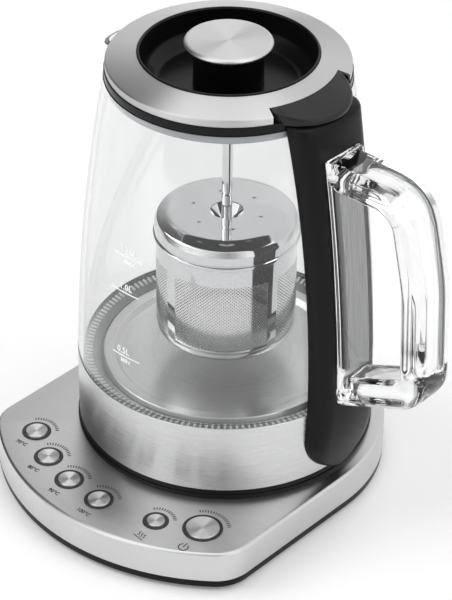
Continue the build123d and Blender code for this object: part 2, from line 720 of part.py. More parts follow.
def make_handle_grip():
    """Clear moulded grip: a D-shaped loop in one piece with its back plate."""
    plate = strip(-PLATE_SUNK, PLATE_PROUD, GRIP_Z0, GRIP_Z1, PLATE_HALF_WIDTH)
    front_edges = [e for e in plate.edges() if abs(e.center().Y) > PLATE_HALF_WIDTH - 0.1
                   and e.length > 60 and e.center().X > SPINE.r_at(135)]
    plate = plate.chamfer(1.4, None, front_edges)
    behind = strip(-40, -PLATE_SUNK, GRIP_Z0 - 20, GRIP_Z1 + 20, 20)
    with BuildPart() as handle_grip:
        with BuildLine(Plane.XZ) as loop:
            FilletPolyline((70.5, 191.5), (110.0, 191.5), (119.4, 150.0), (122.0, 95.0),
                           (80.5, 76.8), radius=(16, 90, 14))
        with BuildSketch(Plane(loop.wires()[0] @ 0, x_dir=(0, 1, 0), z_dir=loop.wires()[0] % 0)):
            RectangleRounded(GRIP_WIDTH, GRIP_DEPTH, GRIP_EDGE_R)
        sweep()
        # the loop stops at the back face of the plate
        add(behind, mode=Mode.SUBTRACT)
        add(plate)
    save(handle_grip.part, "handle_grip")


def make_handle_screws():
    """Screws from inside the steel band into the spine."""
    with BuildPart() as handle_screws:
        for z in HANDLE_SCREW_Z:
            with BuildSketch(Plane((BAND_R - BAND_SHEET - 0.2, 0, z), z_dir=(1, 0, 0))):
                Circle(3.0)
            extrude(amount=-2.0)
            with BuildSketch(Plane((BAND_R - BAND_SHEET - 0.2, 0, z), z_dir=(1, 0, 0))):
                Circle(1.2)
            extrude(amount=6.0)
    save(handle_screws.part, "handle_screws")


# ---------------------------------------------------------------- lid
def make_lid_ring():
    """Brushed steel ring, coned outwards, with a cut-out over the handle."""
    notch = notch_block(NOTCH_R, 0)
    with BuildPart() as lid_ring:
        with BuildSketch(Plane.XZ):
            with BuildLine():
                Polyline((LID_RIM_R + 0.2, 225.1), (LID_RING_R - 1.0, LID_RING_Z),
                         (LID_RING_R, LID_RING_Z - 1.0), (LID_RING_R, 217.8), (LID_RING_R - 0.8, 217.8),
                         (LID_RING_R - 0.8, LID_RING_Z - 1.2), (LID_RING_R - 1.3, LID_RING_Z - 0.75),
                         (LID_RIM_R + 0.2, 224.3), close=True)
            make_face()
        revolve(axis=Axis.Z)
        add(notch, mode=Mode.SUBTRACT)
    save(lid_ring.part, "lid_ring")


def notch_block(r_in, angle_gap):
    """Sector over the handle, used to cut the ring and the flange below it."""
    half = NOTCH_HALF_ANGLE - angle_gap
    with BuildPart() as block:
        with BuildSketch(Plane.XY.offset(217.6)):
            with BuildLine():
                inner = CenterArc((0, 0), r_in, -half, 2 * half)
                outer = CenterArc((0, 0), 70.0, -half, 2 * half)
                Line(inner @ 0, outer @ 0)
                Line(inner @ 1, outer @ 1)
            make_face()
        extrude(amount=12)
    return block.part


def make_lid_body():
    """Black moulding: dish for the knob, flange on the glass rim and plug inside it."""
    notch = notch_block(NOTCH_R - 0.2, -0.3)
    with BuildPart() as lid_body:
        with BuildSketch(Plane.XZ):
            with BuildLine():
                Polyline((7.5, 207.8), (7.5, DISH_FLOOR), (32.0, DISH_FLOOR))
                ThreePointArc((32.0, DISH_FLOOR), (38.0, 212.8), (40.2, 218.5))
                Polyline((40.2, 218.5), (40.5, 225.0), (41.0, LID_RIM_Z), (41.4, LID_RIM_Z),
                         (LID_RIM_R, 225.2), (LID_RIM_R, 224.2), (55.3, 220.2), (55.3, 217.6),
                         (LID_FLANGE_R, 217.6), (LID_FLANGE_R, LID_REST_Z), (PLUG_R, LID_REST_Z),
                         (PLUG_R, 208.4), (PLUG_R - 1.0, 208.4), (PLUG_R - 1.0, 205.6),
                         (PLUG_R, 205.6), (PLUG_R, PLUG_Z), (51.6, PLUG_Z), (51.6, 217.0),
                         (44.0, 219.2), (42.4, 219.2), (42.2, 217.0))
                ThreePointArc((42.2, 217.0), (39.4, 210.8), (33.0, 207.8))
                Line((33.0, 207.8), (7.5, 207.8))
            make_face()
        revolve(axis=Axis.Z)
        add(notch, mode=Mode.SUBTRACT)
        # pillars for the screws that hold the inner plate
        with BuildSketch(Plane.XY.offset(204.4)):
            with PolarLocations(28.0, 3, start_angle=90):
                Circle(3.2)
                Circle(1.0, mode=Mode.SUBTRACT)
        extrude(amount=3.6)
    save(lid_body.part, "lid_body")


def make_lid_tab():
    """Black cap over the top of the handle, filling the ring's cut-out."""
    half = 25.4
    near = polar(NOTCH_R, NOTCH_HALF_ANGLE - 0.4)
    far = polar(59.6, degrees(asin(half / 59.6)))
    with BuildPart() as plan:
        with BuildSketch(Plane.XY.offset(215)):
            with BuildLine():
                Polyline((40, 0), (40, near[1]), near, far, (70, half), (70, 0))
                mirror(about=Plane.XZ)
            make_face()
        extrude(amount=12)
    with BuildPart() as lid_tab:
        with BuildSketch(Plane.XZ):
            with BuildLine():
                Polyline((NOTCH_R + 0.3, 217.7), (NOTCH_R + 0.3, 222.9), (64.4, 219.2))
                ThreePointArc((64.4, 219.2), (66.4, 218.1), (67.2, 216.3))
                Polyline((67.2, 216.3), (LID_FLANGE_R + 0.4, 216.3), (LID_FLANGE_R + 0.4, 217.7),
                         (NOTCH_R + 0.3, 217.7))
            make_face()
        revolve(axis=Axis.Z)
        add(plan.part, mode=Mode.INTERSECT)
    save(lid_tab.part, "lid_tab")


def make_lid_seal():
    """Silicone lip round the plug."""
    with BuildPart() as lid_seal:
        with BuildSketch(Plane.XZ):
            with BuildLine():
                Polyline((PLUG_R - 1.0, 205.7), (PLUG_R + 0.1, 205.7), (PLUG_R + 0.6, 207.0),
                         (PLUG_R + 0.1, 208.3), (PLUG_R - 1.0, 208.3), close=True)
            make_face()
        revolve(axis=Axis.Z)
    save(lid_seal.part, "lid_seal")


def make_lid_underplate():
    """Steel inner face of the lid with steam vents, and its three screws."""
    with BuildPart() as lid_underplate:
        with BuildSketch(Plane.XY.offset(203.6)):
            Circle(51.5)
            Circle(7.6, mode=Mode.SUBTRACT)
            with PolarLocations(28.0, 3, start_angle=90):
                Circle(1.3, mode=Mode.SUBTRACT)
            with PolarLocations(42.0, 6):
                SlotOverall(8.0, 2.4, rotation=90, mode=Mode.SUBTRACT)
        extrude(amount=0.8)
    save(lid_underplate.part, "lid_underplate")
    with BuildPart() as lid_screws:
        with BuildSketch(Plane.XY.offset(202.2)):
            with PolarLocations(28.0, 3, start_angle=90):
                Circle(2.4)
        extrude(amount=1.4)
        with BuildSketch(Plane.XY.offset(203.6)):
            with PolarLocations(28.0, 3, start_angle=90):
                Circle(0.95)
        extrude(amount=3.8)
    save(lid_screws.part, "lid_screws")


def make_lid_bush():
    """Slippery bush that guides the rod, with a spring ring for the raised position."""
    bore = ROD_R + 0.08
    with BuildPart() as lid_bush:
        with BuildSketch(Plane.XZ):
            with BuildLine():
                Polyline((bore, 201.6), (7.4, 201.6), (7.4, DISH_FLOOR), (9.8, DISH_FLOOR), (9.8, 211.0),
                         (bore, 211.0), (bore, 204.4), (3.9, 204.4), (3.9, 202.8), (bore, 202.8),
                         close=True)
            make_face()
        revolve(axis=Axis.Z)
    save(lid_bush.part, "lid_bush")
    with BuildPart() as detent_ring:
        with BuildSketch(Plane.XZ):
            with Locations((3.25, 203.6)):
                Circle(0.62)
        revolve(axis=Axis.Z)
        with BuildSketch(Plane.XY.offset(200)):
            with Locations((3.2, 0)):
                Rectangle(3.0, 1.4)
        extrude(amount=6, mode=Mode.SUBTRACT)
    save(detent_ring.part, "detent_ring")


# ---------------------------------------------------------------- infuser
def make_knob():
    """Black boss that stands in the dish and the steel cap on it."""
    with BuildPart() as knob_boss:
        with BuildSketch(Plane.XZ):
            with BuildLine():
                Polyline((ROD_R, 211.3), (10.4, 211.3), (10.4, DISH_FLOOR), (BOSS_R, DISH_FLOOR),
                         (BOSS_R - 0.4, 226.0), (BOSS_R + 1.6, 228.4), (ROD_R, 228.4), close=True)
            make_face()
        revolve(axis=Axis.Z)
    save(knob_boss.part, "knob_boss")
    with BuildPart() as knob_cap:
        with BuildSketch(Plane.XZ):
            with BuildLine():
                Polyline((0, 228.4), (KNOB_R - 1.2, 228.4))
                ThreePointArc((KNOB_R - 1.2, 228.4), (KNOB_R, 229.4), (KNOB_R - 0.9, 230.4))
                Polyline((KNOB_R - 0.9, 230.4), (KNOB_R - 2.0, KNOB_TOP), (0, KNOB_TOP - 0.3), (0, 228.4))
            make_face()
        revolve(axis=Axis.Z)
    save(knob_cap.part, "knob_cap")


def make_infuser_rod():
    """Steel rod from the knob to the basket cap, with a ring groove for the detent."""
    with BuildPart() as infuser_rod:
        with BuildSketch(Plane.XZ):
            with BuildLine():
                Polyline((0, 228.4), (ROD_R, 228.4), (ROD_R, ROD_GROOVE_Z + 1.0), (2.0, ROD_GROOVE_Z + 0.5),
                         (2.0, ROD_GROOVE_Z - 0.5), (ROD_R, ROD_GROOVE_Z - 1.0), (ROD_R, ROD_END_Z + 0.6),
                         (1.9, ROD_END_Z), (0, ROD_END_Z), close=True)
            make_face()
        revolve(axis=Axis.Z)
    save(infuser_rod.part, "infuser_rod")


def make_basket_cap():
    """Polished cap of the basket with vent holes and the socket for the rod."""
    with BuildPart() as basket_cap:
        with BuildSketch(Plane.XZ):
            with BuildLine():
                Polyline((7.9, CAP_TOP), (30.0, CAP_TOP - 0.5))
                ThreePointArc((30.0, CAP_TOP - 0.5), (33.4, CAP_TOP - 2.1), (34.7, CAP_TOP - 5.6))
                Polyline((34.7, CAP_TOP - 5.6), (34.7, CAP_BOTTOM + 1.8), (CAP_R, CAP_BOTTOM + 1.2),
                         (CAP_R, CAP_BOTTOM + 0.2), (34.1, CAP_BOTTOM + 0.2), (34.1, CAP_TOP - 5.6))
                ThreePointArc((34.1, CAP_TOP - 5.6), (33.0, CAP_TOP - 2.6), (30.0, CAP_TOP - 1.1))
                Polyline((30.0, CAP_TOP - 1.1), (7.9, CAP_TOP - 0.6), (7.9, CAP_TOP))
            make_face()
        revolve(axis=Axis.Z)
        with BuildSketch(Plane.XY.offset(CAP_TOP)):
            with PolarLocations(17.1, 6, start_angle=22):
                Circle(0.9)
            with PolarLocations(7.9, 2, start_angle=-42):
                Rectangle(2.4, 2.6)
        extrude(amount=-2.0, mode=Mode.SUBTRACT)
    save(basket_cap.part, "basket_cap")
    # spring collar: a cup below the opening that grips the rod
    with BuildPart() as cap_collar:
        with BuildSketch(Plane.XZ):
            with BuildLine():
                Polyline((ROD_R, 131.0), (5.4, 131.0), (9.6, CAP_TOP - 0.75), (9.0, CAP_TOP - 0.75),
                         (8.3, CAP_TOP - 1.9), (5.0, 132.6), (ROD_R, 132.6), close=True)
            make_face()
        revolve(axis=Axis.Z)
    save(cap_collar.part, "cap_collar")
    with BuildPart() as rod_clip:
        with BuildSketch(Plane.XY.offset(130.2)):
            Circle(4.6)
            Circle(ROD_R, mode=Mode.SUBTRACT)
            with Locations((4, 0)):
                Rectangle(4.4, 2.4, mode=Mode.SUBTRACT)
        extrude(amount=0.8)
    save(rod_clip.part, "rod_clip")


def window_angles():
    return [WINDOW_START + 90.0 * i for i in range(4)]


def make_basket():
    """Deep-drawn basket with four screened windows and a screened floor."""
    r_in = BASKET_R - BASKET_WALL
    windows = [curved_panel(r_in - 1, BASKET_R + 1, angle, WINDOW_ANGLE) for angle in window_angles()]
    screens = [curved_panel(BASKET_R - 0.55, BASKET_R - 0.15, angle, WINDOW_ANGLE)
               for angle in window_angles()]
    with BuildPart() as basket_shell:
        with BuildSketch(Plane.XZ):
            with BuildLine():
                Polyline((25.0, BASKET_FLOOR), (BASKET_R - 6, BASKET_FLOOR))
                RadiusArc((BASKET_R - 6, BASKET_FLOOR), (BASKET_R, BASKET_FLOOR + 6), -6)
                Polyline((BASKET_R, BASKET_FLOOR + 6), (BASKET_R, CAP_BOTTOM), (BASKET_R - 0.3, CAP_BOTTOM + 0.3),
                         (BASKET_R - 0.3, NECK_TOP), (r_in - 0.3, NECK_TOP), (r_in - 0.3, CAP_BOTTOM),
                         (r_in, CAP_BOTTOM - 0.3), (r_in, BASKET_FLOOR + 6))
                RadiusArc((r_in, BASKET_FLOOR + 6), (BASKET_R - 6, BASKET_FLOOR + BASKET_WALL), 5.3)
                Polyline((BASKET_R - 6, BASKET_FLOOR + BASKET_WALL), (25.0, BASKET_FLOOR + BASKET_WALL),
                         (25.0, BASKET_FLOOR))
            make_face()
        revolve(axis=Axis.Z)
        for window in windows:
            add(window, mode=Mode.SUBTRACT)
    save(basket_shell.part, "basket_shell")
    with BuildPart() as basket_screens:
        for screen in screens:
            add(screen)
    save(basket_screens.part, "basket_screens")
    with BuildPart() as floor_screen:
        with BuildSketch(Plane.XY.offset(BASKET_FLOOR + 0.15)):
            Circle(25.0)
        extrude(amount=0.4)
    save(floor_screen.part, "floor_screen")


def curved_panel(r_in, r_out, angle, width):
    """A piece of a cylinder wall the size of one window."""
    with BuildPart() as panel:
        with BuildSketch(Plane.XY.offset(WINDOW_Z0)):
            with BuildLine():
                inner = CenterArc((0, 0), r_in, angle - width / 2, width)
                outer = CenterArc((0, 0), r_out, angle - width / 2, width)
                Line(inner @ 0, outer @ 0)
                Line(inner @ 1, outer @ 1)
            make_face()
        extrude(amount=WINDOW_Z1 - WINDOW_Z0)
    return panel.part


# ---------------------------------------------------------------- build everything
os.makedirs("parts", exist_ok=True)

make_base_shell()
make_base_tray()
make_cord_grommet()
make_rubber_feet()
make_base_screws()
make_seat_plate()
make_base_connector()
make_control_board()
make_power_board()
make_button_bezels()
for button_name, button_angle, _, button_cap_r in BUTTONS:
    make_button(button_name, button_angle, button_cap_r)

make_jug_bottom_cover()
make_jug_connector()
make_heater_band()
make_heating_plate()
make_heating_element()
make_temperature_parts()
make_glass_seal()
make_glass_jug()

make_handle_spine()
make_handle_insert()
make_handle_grip()
make_handle_screws()

make_lid_ring()
make_lid_body()
make_lid_tab()
make_lid_seal()
make_lid_underplate()
make_lid_bush()

make_knob()
make_infuser_rod()
make_basket_cap()
make_basket()
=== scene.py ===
"""Looks of a cordless glass tea maker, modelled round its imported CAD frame.

Lengths are in millimetres and angles in degrees, in the frame's own axes: the jug's axis is Z,
the handle points along +X, the spout along -X and the buttons face -Y.
"""

import json
from math import acos, atan2, cos, degrees, hypot, pi, radians, sin, sqrt

import bpy
from mathutils import Matrix, Vector


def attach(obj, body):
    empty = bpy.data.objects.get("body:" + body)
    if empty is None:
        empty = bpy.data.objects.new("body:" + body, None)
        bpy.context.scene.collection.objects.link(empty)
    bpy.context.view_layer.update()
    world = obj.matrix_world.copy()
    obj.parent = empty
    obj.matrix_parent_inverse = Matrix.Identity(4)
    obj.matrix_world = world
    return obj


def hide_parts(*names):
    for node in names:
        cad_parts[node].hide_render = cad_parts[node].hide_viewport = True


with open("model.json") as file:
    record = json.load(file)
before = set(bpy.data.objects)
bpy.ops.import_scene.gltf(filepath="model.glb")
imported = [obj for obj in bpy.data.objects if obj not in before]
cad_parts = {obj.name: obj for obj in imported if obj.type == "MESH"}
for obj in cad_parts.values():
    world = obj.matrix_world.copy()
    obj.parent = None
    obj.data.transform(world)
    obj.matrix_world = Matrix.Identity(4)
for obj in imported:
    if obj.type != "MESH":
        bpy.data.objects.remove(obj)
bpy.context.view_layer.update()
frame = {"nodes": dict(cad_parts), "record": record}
MM = 0.001
FINE = 256                  # steps of a large spun piece
SMALL = 72                  # steps of a button or a hole
CORNER_STEPS = 5            # steps of a rounded corner of an outline

# ---------------------------------------------------------------- driving sizes
BASE_TOP, BASE_HALF_WIDTH, BASE_FRONT_R = 22.0, 80.0, 114.0
BASE_CORNER_R, BASE_EDGE_R = 20.0, 1.7
SHELL_Z0, RIM_Z0 = 5.9, 2.0         # lower edges of the steel cover and of the black rim
OPENING_R, SEAT_R, SEAT_TOP = 62.0, 73.2, 24.2
BAND_R, BAND_TOP = 72.6, 63.5
GLASS_R, GLASS_RIM_R, GLASS_RIM_Z = 72.4, 57.5, 213.4
GLASS_SWELL, GLASS_WALL = 3.0, 2.4
SPOUT_FOOT_Z, SPOUT_REACH, SPOUT_R, SPOUT_DROP = 174.0, 73.0, 16.5, 6.9
FLOOR_Z = 58.6                      # steel floor of the jug
RIB_COUNT = 150
SPINE_TOP_Z, SPINE_TOE_Z, SPINE_BEND_Z = 215.6, 27.3, 66.0
SPINE_FOOT_R, SPINE_HEAD_W, SPINE_WAIST = 20.5, 21.5, 1.8
SPINE_TOP_R, SPINE_BEND_R = 66.6, 82.2
GRIP_HALF_WIDTH, GRIP_HALF_DEPTH, GRIP_CORNER_R = 11.5, 7.5, 5.5
WINDOW_Z = (81.2, 117.4)
WINDOWS = [-53 + 90 * i for i in range(4)]      # directions of the basket's windows
BUTTON_CIRCLE_R = 95.3
BUTTONS = {                 # name: (angle, bezel radius, cap radius)
    "70c": (-125.0, 7.2, 5.3),
    "80c": (-112.1, 7.2, 5.3),
    "90c": (-99.6, 7.2, 5.3),
    "100c": (-86.8, 7.2, 5.3),
    "keep_warm": (-67.7, 6.3, 4.3),
    "start": (-54.0, 9.7, 7.9),
}
TICK_ARC = (47, 138)        # directions between which ticks stand round a button
TICK_GAP, TICK_PITCH = 2.9, 1.35
LABEL_TURNS = {"70c": 6, "80c": 4, "90c": 2, "100c": 1}
LABEL_SIZE, LABEL_SHIFT, LABEL_DROP = 3.1, 1.2, 11.6
POWER_SIGN_AT, HEAT_SIGN_AT = (58.6, -93.2), (38.4, -100.2)
INK = 0.02                  # half the thickness of a print
VOLUME_MARKS = (            # height, left and right end, number, word below
    (91.5, -7.5, 9.5, "0.5L", "MIN"),
    (125.8, -9.5, 7.5, "1.0L", ""),
    (144.5, -9.0, 8.5, "1.25L", "MAX"),
)


def arc_radius(z, top, bottom, swell, offset=0.0):
    """Radius at a height of a wall whose profile is one arc from top to bottom, swelling outwards."""
    chord = hypot(top[0] - bottom[0], top[1] - bottom[1])
    radius = chord ** 2 / (8 * swell) + swell / 2
    nx, nz = (top[1] - bottom[1]) / chord, (bottom[0] - top[0]) / chord
    cx = (top[0] + bottom[0]) / 2 + nx * (swell - radius)
    cz = (top[1] + bottom[1]) / 2 + nz * (swell - radius)
    return cx + sqrt((radius + offset) ** 2 - (z - cz) ** 2)


def glass_r(z, offset=0.0):
    return arc_radius(z, (GLASS_RIM_R, GLASS_RIM_Z), (GLASS_R, BAND_TOP), GLASS_SWELL, offset)


def spine_r(z, offset=0.0):
    top, bend = (SPINE_TOP_R, SPINE_TOP_Z), (SPINE_BEND_R, SPINE_BEND_Z)
    return arc_radius(z, top, bend, GLASS_SWELL, offset)


def polar(radius, angle):
    return (radius * cos(radians(angle)), radius * sin(radians(angle)))


def frange(first, last, parts):
    return [first + (last - first) * i / parts for i in range(parts + 1)]


def rectangle(x0, x1, y0, y1):
    return [(x0, y0), (x1, y0), (x1, y1), (x0, y1)]


def arc(x, y, radius, first, last, parts):
    """Points of an arc about (x, y) from one direction to another."""
    return [(x + dx, y + dy) for dx, dy in (polar(radius, a) for a in frange(first, last, parts))]


def fan(inner, outer, middle, half, parts):
    """Outline of a piece of a flat ring that reaches half an angle to both sides of a direction."""
    turns = frange(middle - half, middle + half, parts)
    return [polar(inner, a) for a in turns] + [polar(outer, a) for a in reversed(turns)]


# ---------------------------------------------------------------- modelling helpers
def set_mode(mode):
    bpy.ops.object.mode_set(mode=mode)


def deselect():
    if bpy.context.object and bpy.context.object.mode == "EDIT":
        set_mode("OBJECT")
    bpy.ops.object.select_all(action="DESELECT")


def take(piece):
    """Makes one piece the only selected and active object."""
    deselect()
    piece.select_set(True)
    bpy.context.view_layer.objects.active = piece


def settle(piece, name):
    """Names a finished piece and puts its object at the origin, with its place in its mesh."""
    take(piece)
    bpy.ops.object.transform_apply(location=True, rotation=True, scale=True)
    piece.name = piece.data.name = name
    return piece


def rounded(*corners, segments=CORNER_STEPS):
    """Points of an outline given as (a, b) or (a, b, fillet radius) corners."""
    points = []
    count = len(corners)
    for i, corner in enumerate(corners):
        here = Vector(corner[:2])
        if len(corner) == 2:
            points.append(tuple(here))
            continue
        back = (Vector(corners[i - 1][:2]) - here).normalized()
        ahead = (Vector(corners[(i + 1) % count][:2]) - here).normalized()
        half = acos(max(-1.0, min(1.0, back.dot(ahead)))) / 2
        centre = here + (back + ahead).normalized() * corner[2] / sin(half)
        start = here + back * corner[2] / (sin(half) / cos(half)) - centre
        sweep = pi - 2 * half
        turn = 1 if back.y * ahead.x - back.x * ahead.y > 0 else -1
        for k in range(segments + 1):
            angle = turn * sweep * k / segments
            points.append((centre.x + start.x * cos(angle) - start.y * sin(angle),
                           centre.y + start.x * sin(angle) + start.y * cos(angle)))
    return points


def select(action="SELECT"):
    bpy.ops.mesh.select_all(action=action)


def merge_doubles():
    """Selects the whole mesh in hand and merges the points that coincide."""
    select()
    bpy.ops.mesh.remove_doubles(threshold=1e-6)


def extrude(step):
    """Extrudes what is selected by a step (x, y, z) in metres."""
    bpy.ops.mesh.extrude_region_move(TRANSFORM_OT_translate={"value": step})


def trace(places, closed):
    """Draws a line of edges through 3-D places, in mm, and stays in edit mode with all selected."""
    deselect()
    here = Vector(places[0]) * MM
    bpy.ops.mesh.primitive_plane_add(size=MM, location=here)
    set_mode("EDIT")
    bpy.ops.mesh.select_mode(type="VERT")
    bpy.ops.mesh.merge(type="CENTER")
    for place in list(places[1:]) + ([places[0]] if closed else []):
        there = Vector(place) * MM
        extrude(there - here)
        here = there
    merge_doubles()


def close_up(name):
    """Turns the faces of the mesh in hand outwards, leaves edit mode and settles the piece."""
    select()
    bpy.ops.mesh.normals_make_consistent(inside=False)
    set_mode("OBJECT")
    return settle(bpy.context.object, name)


def edit(piece, action="SELECT"):
    """Opens one piece in edit mode, with all of it selected or, on DESELECT, nothing."""
    take(piece)
    set_mode("EDIT")
    select(action)


def smooth(piece, angle=35):
    take(piece)
    bpy.ops.object.shade_smooth_by_angle(angle=radians(angle))


def lathe(name, outline, steps=FINE, centre=(0.0, 0.0), closed=True, sweep=360.0, start=0.0):
    """Spins an outline of (radius, height) points about an upright axis."""
    ux, uy = polar(1.0, start)
    trace([(centre[0] + r * ux, centre[1] + r * uy, z) for r, z in outline], closed)
    bpy.ops.mesh.spin(steps=steps, angle=radians(sweep), axis=(0, 0, 1),
                      center=(centre[0] * MM, centre[1] * MM, 0), use_auto_merge=sweep == 360)
    merge_doubles()
    if closed and sweep != 360:
        select("DESELECT")
        bpy.ops.mesh.select_non_manifold()
        bpy.ops.mesh.edge_face_add()
    piece = close_up(name)
    smooth(piece)
    return piece


def drill(radius, z0, z1, steps=SMALL, centre=(0.0, 0.0)):
    """An upright cylinder that cuts a round hole."""
    return lathe("drill", [(0, z0), (radius, z0), (radius, z1), (0, z1)], steps, centre, closed=False)


def slab(name, outline, z0, z1):
    """Raises a flat outline of (x, y) points to a block."""
    trace([(x, y, z0) for x, y in outline], True)
    bpy.ops.mesh.edge_face_add()
    extrude((0, 0, (z1 - z0) * MM))
    return close_up(name)


def modify(piece, kind, **values):
    take(piece)
    modifier = piece.modifiers.new(kind.title(), kind)
    for key, value in values.items():
        setattr(modifier, key, value)
    bpy.ops.object.modifier_apply(modifier=modifier.name)


def round_edges(piece, chosen, offset, segments):
    """Rounds the edges whose two ends both pass chosen(x, y, z), with places in mm."""
    edit(piece, "DESELECT")
    bpy.ops.mesh.select_mode(type="EDGE")
    set_mode("OBJECT")
    picked = [chosen(*(vertex.co / MM)) for vertex in piece.data.vertices]
    for edge in piece.data.edges:
        edge.select = all(picked[v] for v in edge.vertices)
    set_mode("EDIT")
    bpy.ops.mesh.bevel(offset=offset * MM, segments=segments, profile=0.5)
    set_mode("OBJECT")


def subdivide(piece, cuts):
    edit(piece)
    bpy.ops.mesh.subdivide(number_cuts=cuts)
    set_mode("OBJECT")


def combine(piece, operation, *tools):
    """Joins a piece with tool pieces, or cuts or trims it by them, and deletes them."""
    for tool in tools:
        modify(piece, "BOOLEAN", operation=operation, object=tool, solver="EXACT")
        bpy.data.objects.remove(tool)


def cut(piece, *tools):
    combine(piece, "DIFFERENCE", *tools)


def copy_of(piece, name):
    twin = piece.copy()
    twin.data = piece.data.copy()
    bpy.context.scene.collection.objects.link(twin)
    twin.name = twin.data.name = name
    return twin


def wrap(piece, wall, angle):
    """Bends a flat piece, drawn in the XY plane, round an upright wall: x runs along it, y up."""
    for vertex in piece.data.vertices:
        x, y, z = vertex.co / MM
        radius = wall(y) + z
        vertex.co = Vector((*polar(radius, angle + degrees(x / wall(y))), y)) * MM


def word(text, size, weight, thick=2 * INK):
    """Flat lettering about the origin, as a mesh, with a height of capitals of about 0.7 size."""
    deselect()
    bpy.ops.object.text_add()
    letters = bpy.context.object
    letters.data.body = text
    letters.data.size = size * MM
    letters.data.extrude = thick * MM / 2
    letters.data.offset = weight * MM
    letters.data.resolution_u = 3
    letters.data.align_x, letters.data.align_y = "CENTER", "CENTER"
    bpy.ops.object.convert(target="MESH")
    return settle(bpy.context.object, "word")


def place(piece, x, y, z, turn=0.0):
    """Turns a piece about Z and moves it, in its mesh."""
    shift = Matrix.Translation(Vector((x, y, z)) * MM)
    piece.data.transform(shift @ Matrix.Rotation(radians(turn), 4, "Z"))
    return piece


def join(name, pieces):
    take(pieces[0])
    for piece in pieces:
        piece.select_set(True)
    bpy.ops.object.join()
    pieces[0].name = pieces[0].data.name = name
    return pieces[0]


def dress(piece, material):
    piece.data.materials.clear()
    piece.data.materials.append(material)


def finish_piece(piece, material, body, slot, *stands_for):
    """Gives a piece its material and the body it rides on, and hides the nodes it stands for; slot is not
    used.
    """
    dress(piece, material)
    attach(piece, body)
    if stands_for:
        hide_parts(*stands_for)


# ---------------------------------------------------------------- shader groups
def new_group(name, extra, kind, default):
    """A shader group that takes a vector, one more input, a roughness and its spread.

    It puts out a mask that varies over the surface, and the roughness moved by that mask.
    """
    group = bpy.data.node_groups.new(name, "ShaderNodeTree")
    number = "NodeSocketFloat"
    for label, socket_type, value in (("Vector", "NodeSocketVector", (0, 0, 0)), (extra, kind, default),
                                      ("Roughness", number, 0.3), ("Spread", number, 0.1)):
        socket = group.interface.new_socket(label, in_out="INPUT", socket_type=socket_type)
        socket.default_value = value
    for label in ("Roughness", "Mask"):
        group.interface.new_socket(label, in_out="OUTPUT", socket_type=number)
    return group, group.nodes.new("NodeGroupInput")


def put_out(group, given, mask):
    """Ends a group: its mask, and the given roughness raised and lowered by it."""
    made = group.nodes.new("NodeGroupOutput")
    centred = math_node(group, "SUBTRACT", mask, 0.5)
    spread = math_node(group, "MULTIPLY", centred, given.outputs["Spread"])
    rough = math_node(group, "ADD", spread, given.outputs["Roughness"])
    group.links.new(rough, made.inputs["Roughness"])
    group.links.new(mask, made.inputs["Mask"])
    return group


def set_inputs(node, **values):
    """Sets inputs of a node by their names, with _ for a space."""
    for key, value in values.items():
        node.inputs[key.replace("_", " ")].default_value = value


def math_node(tree, operation, *values):
    node = tree.nodes.new("ShaderNodeMath")
    node.operation = operation
    for socket, value in zip(node.inputs, values):
        if isinstance(value, (int, float)):
            socket.default_value = value
        else:
            tree.links.new(value, socket)
    return node.outputs[0]


def line_noise(group, place, socket, dimensions):
    """Fine noise read at a place that is already scaled."""
    lines = group.nodes.new("ShaderNodeTexNoise")
    lines.noise_dimensions = dimensions
    set_inputs(lines, Scale=1.0, Detail=3.0)
    group.links.new(place, lines.inputs[socket])
    return lines.outputs["Fac"]


def brush_group():
    """Fine straight scratches: noise stretched along one direction of its vector."""
    group, given = new_group("Brush lines", "Stretch", "NodeSocketVector", (40.0, 4000.0, 4000.0))
    scale = group.nodes.new("ShaderNodeVectorMath")
    scale.operation = "MULTIPLY"
    group.links.new(given.outputs["Vector"], scale.inputs[0])
    group.links.new(given.outputs["Stretch"], scale.inputs[1])
    return put_out(group, given, line_noise(group, scale.outputs[0], "Vector", "3D"))


def turned_group():
    """Concentric turning lines round a centre: noise that changes with the radius."""
    group, given = new_group("Turned lines", "Density", "NodeSocketFloat", 4000.0)
    apart = group.nodes.new("ShaderNodeSeparateXYZ")
    group.links.new(given.outputs["Vector"], apart.inputs[0])
    squares = [math_node(group, "POWER", apart.outputs[i], 2.0) for i in (0, 1)]
    radius = math_node(group, "SQRT", math_node(group, "ADD", *squares))
    place = math_node(group, "MULTIPLY", radius, given.outputs["Density"])
    return put_out(group, given, line_noise(group, place, "W", "1D"))


def mottle_group():
    """Slight unevenness of a moulded or handled surface."""
    group, given = new_group("Mottle", "Scale", "NodeSocketFloat", 60.0)
    noise = group.nodes.new("ShaderNodeTexNoise")
    set_inputs(noise, Detail=4.0)
    group.links.new(given.outputs["Vector"], noise.inputs["Vector"])
    group.links.new(given.outputs["Scale"], noise.inputs["Scale"])
    return put_out(group, given, noise.outputs["Fac"])


BRUSH, TURNED, MOTTLE = brush_group(), turned_group(), mottle_group()


# ---------------------------------------------------------------- materials
def grey(level, blue=0.0):
    return (level, level, level + blue)


def plain(name, color, roughness, **values):
    """A Principled material with every value set on its own socket."""
    material = bpy.data.materials.new(name)
    material.use_nodes = True
    shader = material.node_tree.nodes["Principled BSDF"]
    set_inputs(shader, Base_Color=(*color, 1), Roughness=roughness, **values)
    return material


def feed(material, value, socket):
    """Leads a value that varies over the surface into a socket of the material's shader."""
    tree = material.node_tree
    tree.links.new(value, tree.nodes["Principled BSDF"].inputs[socket])


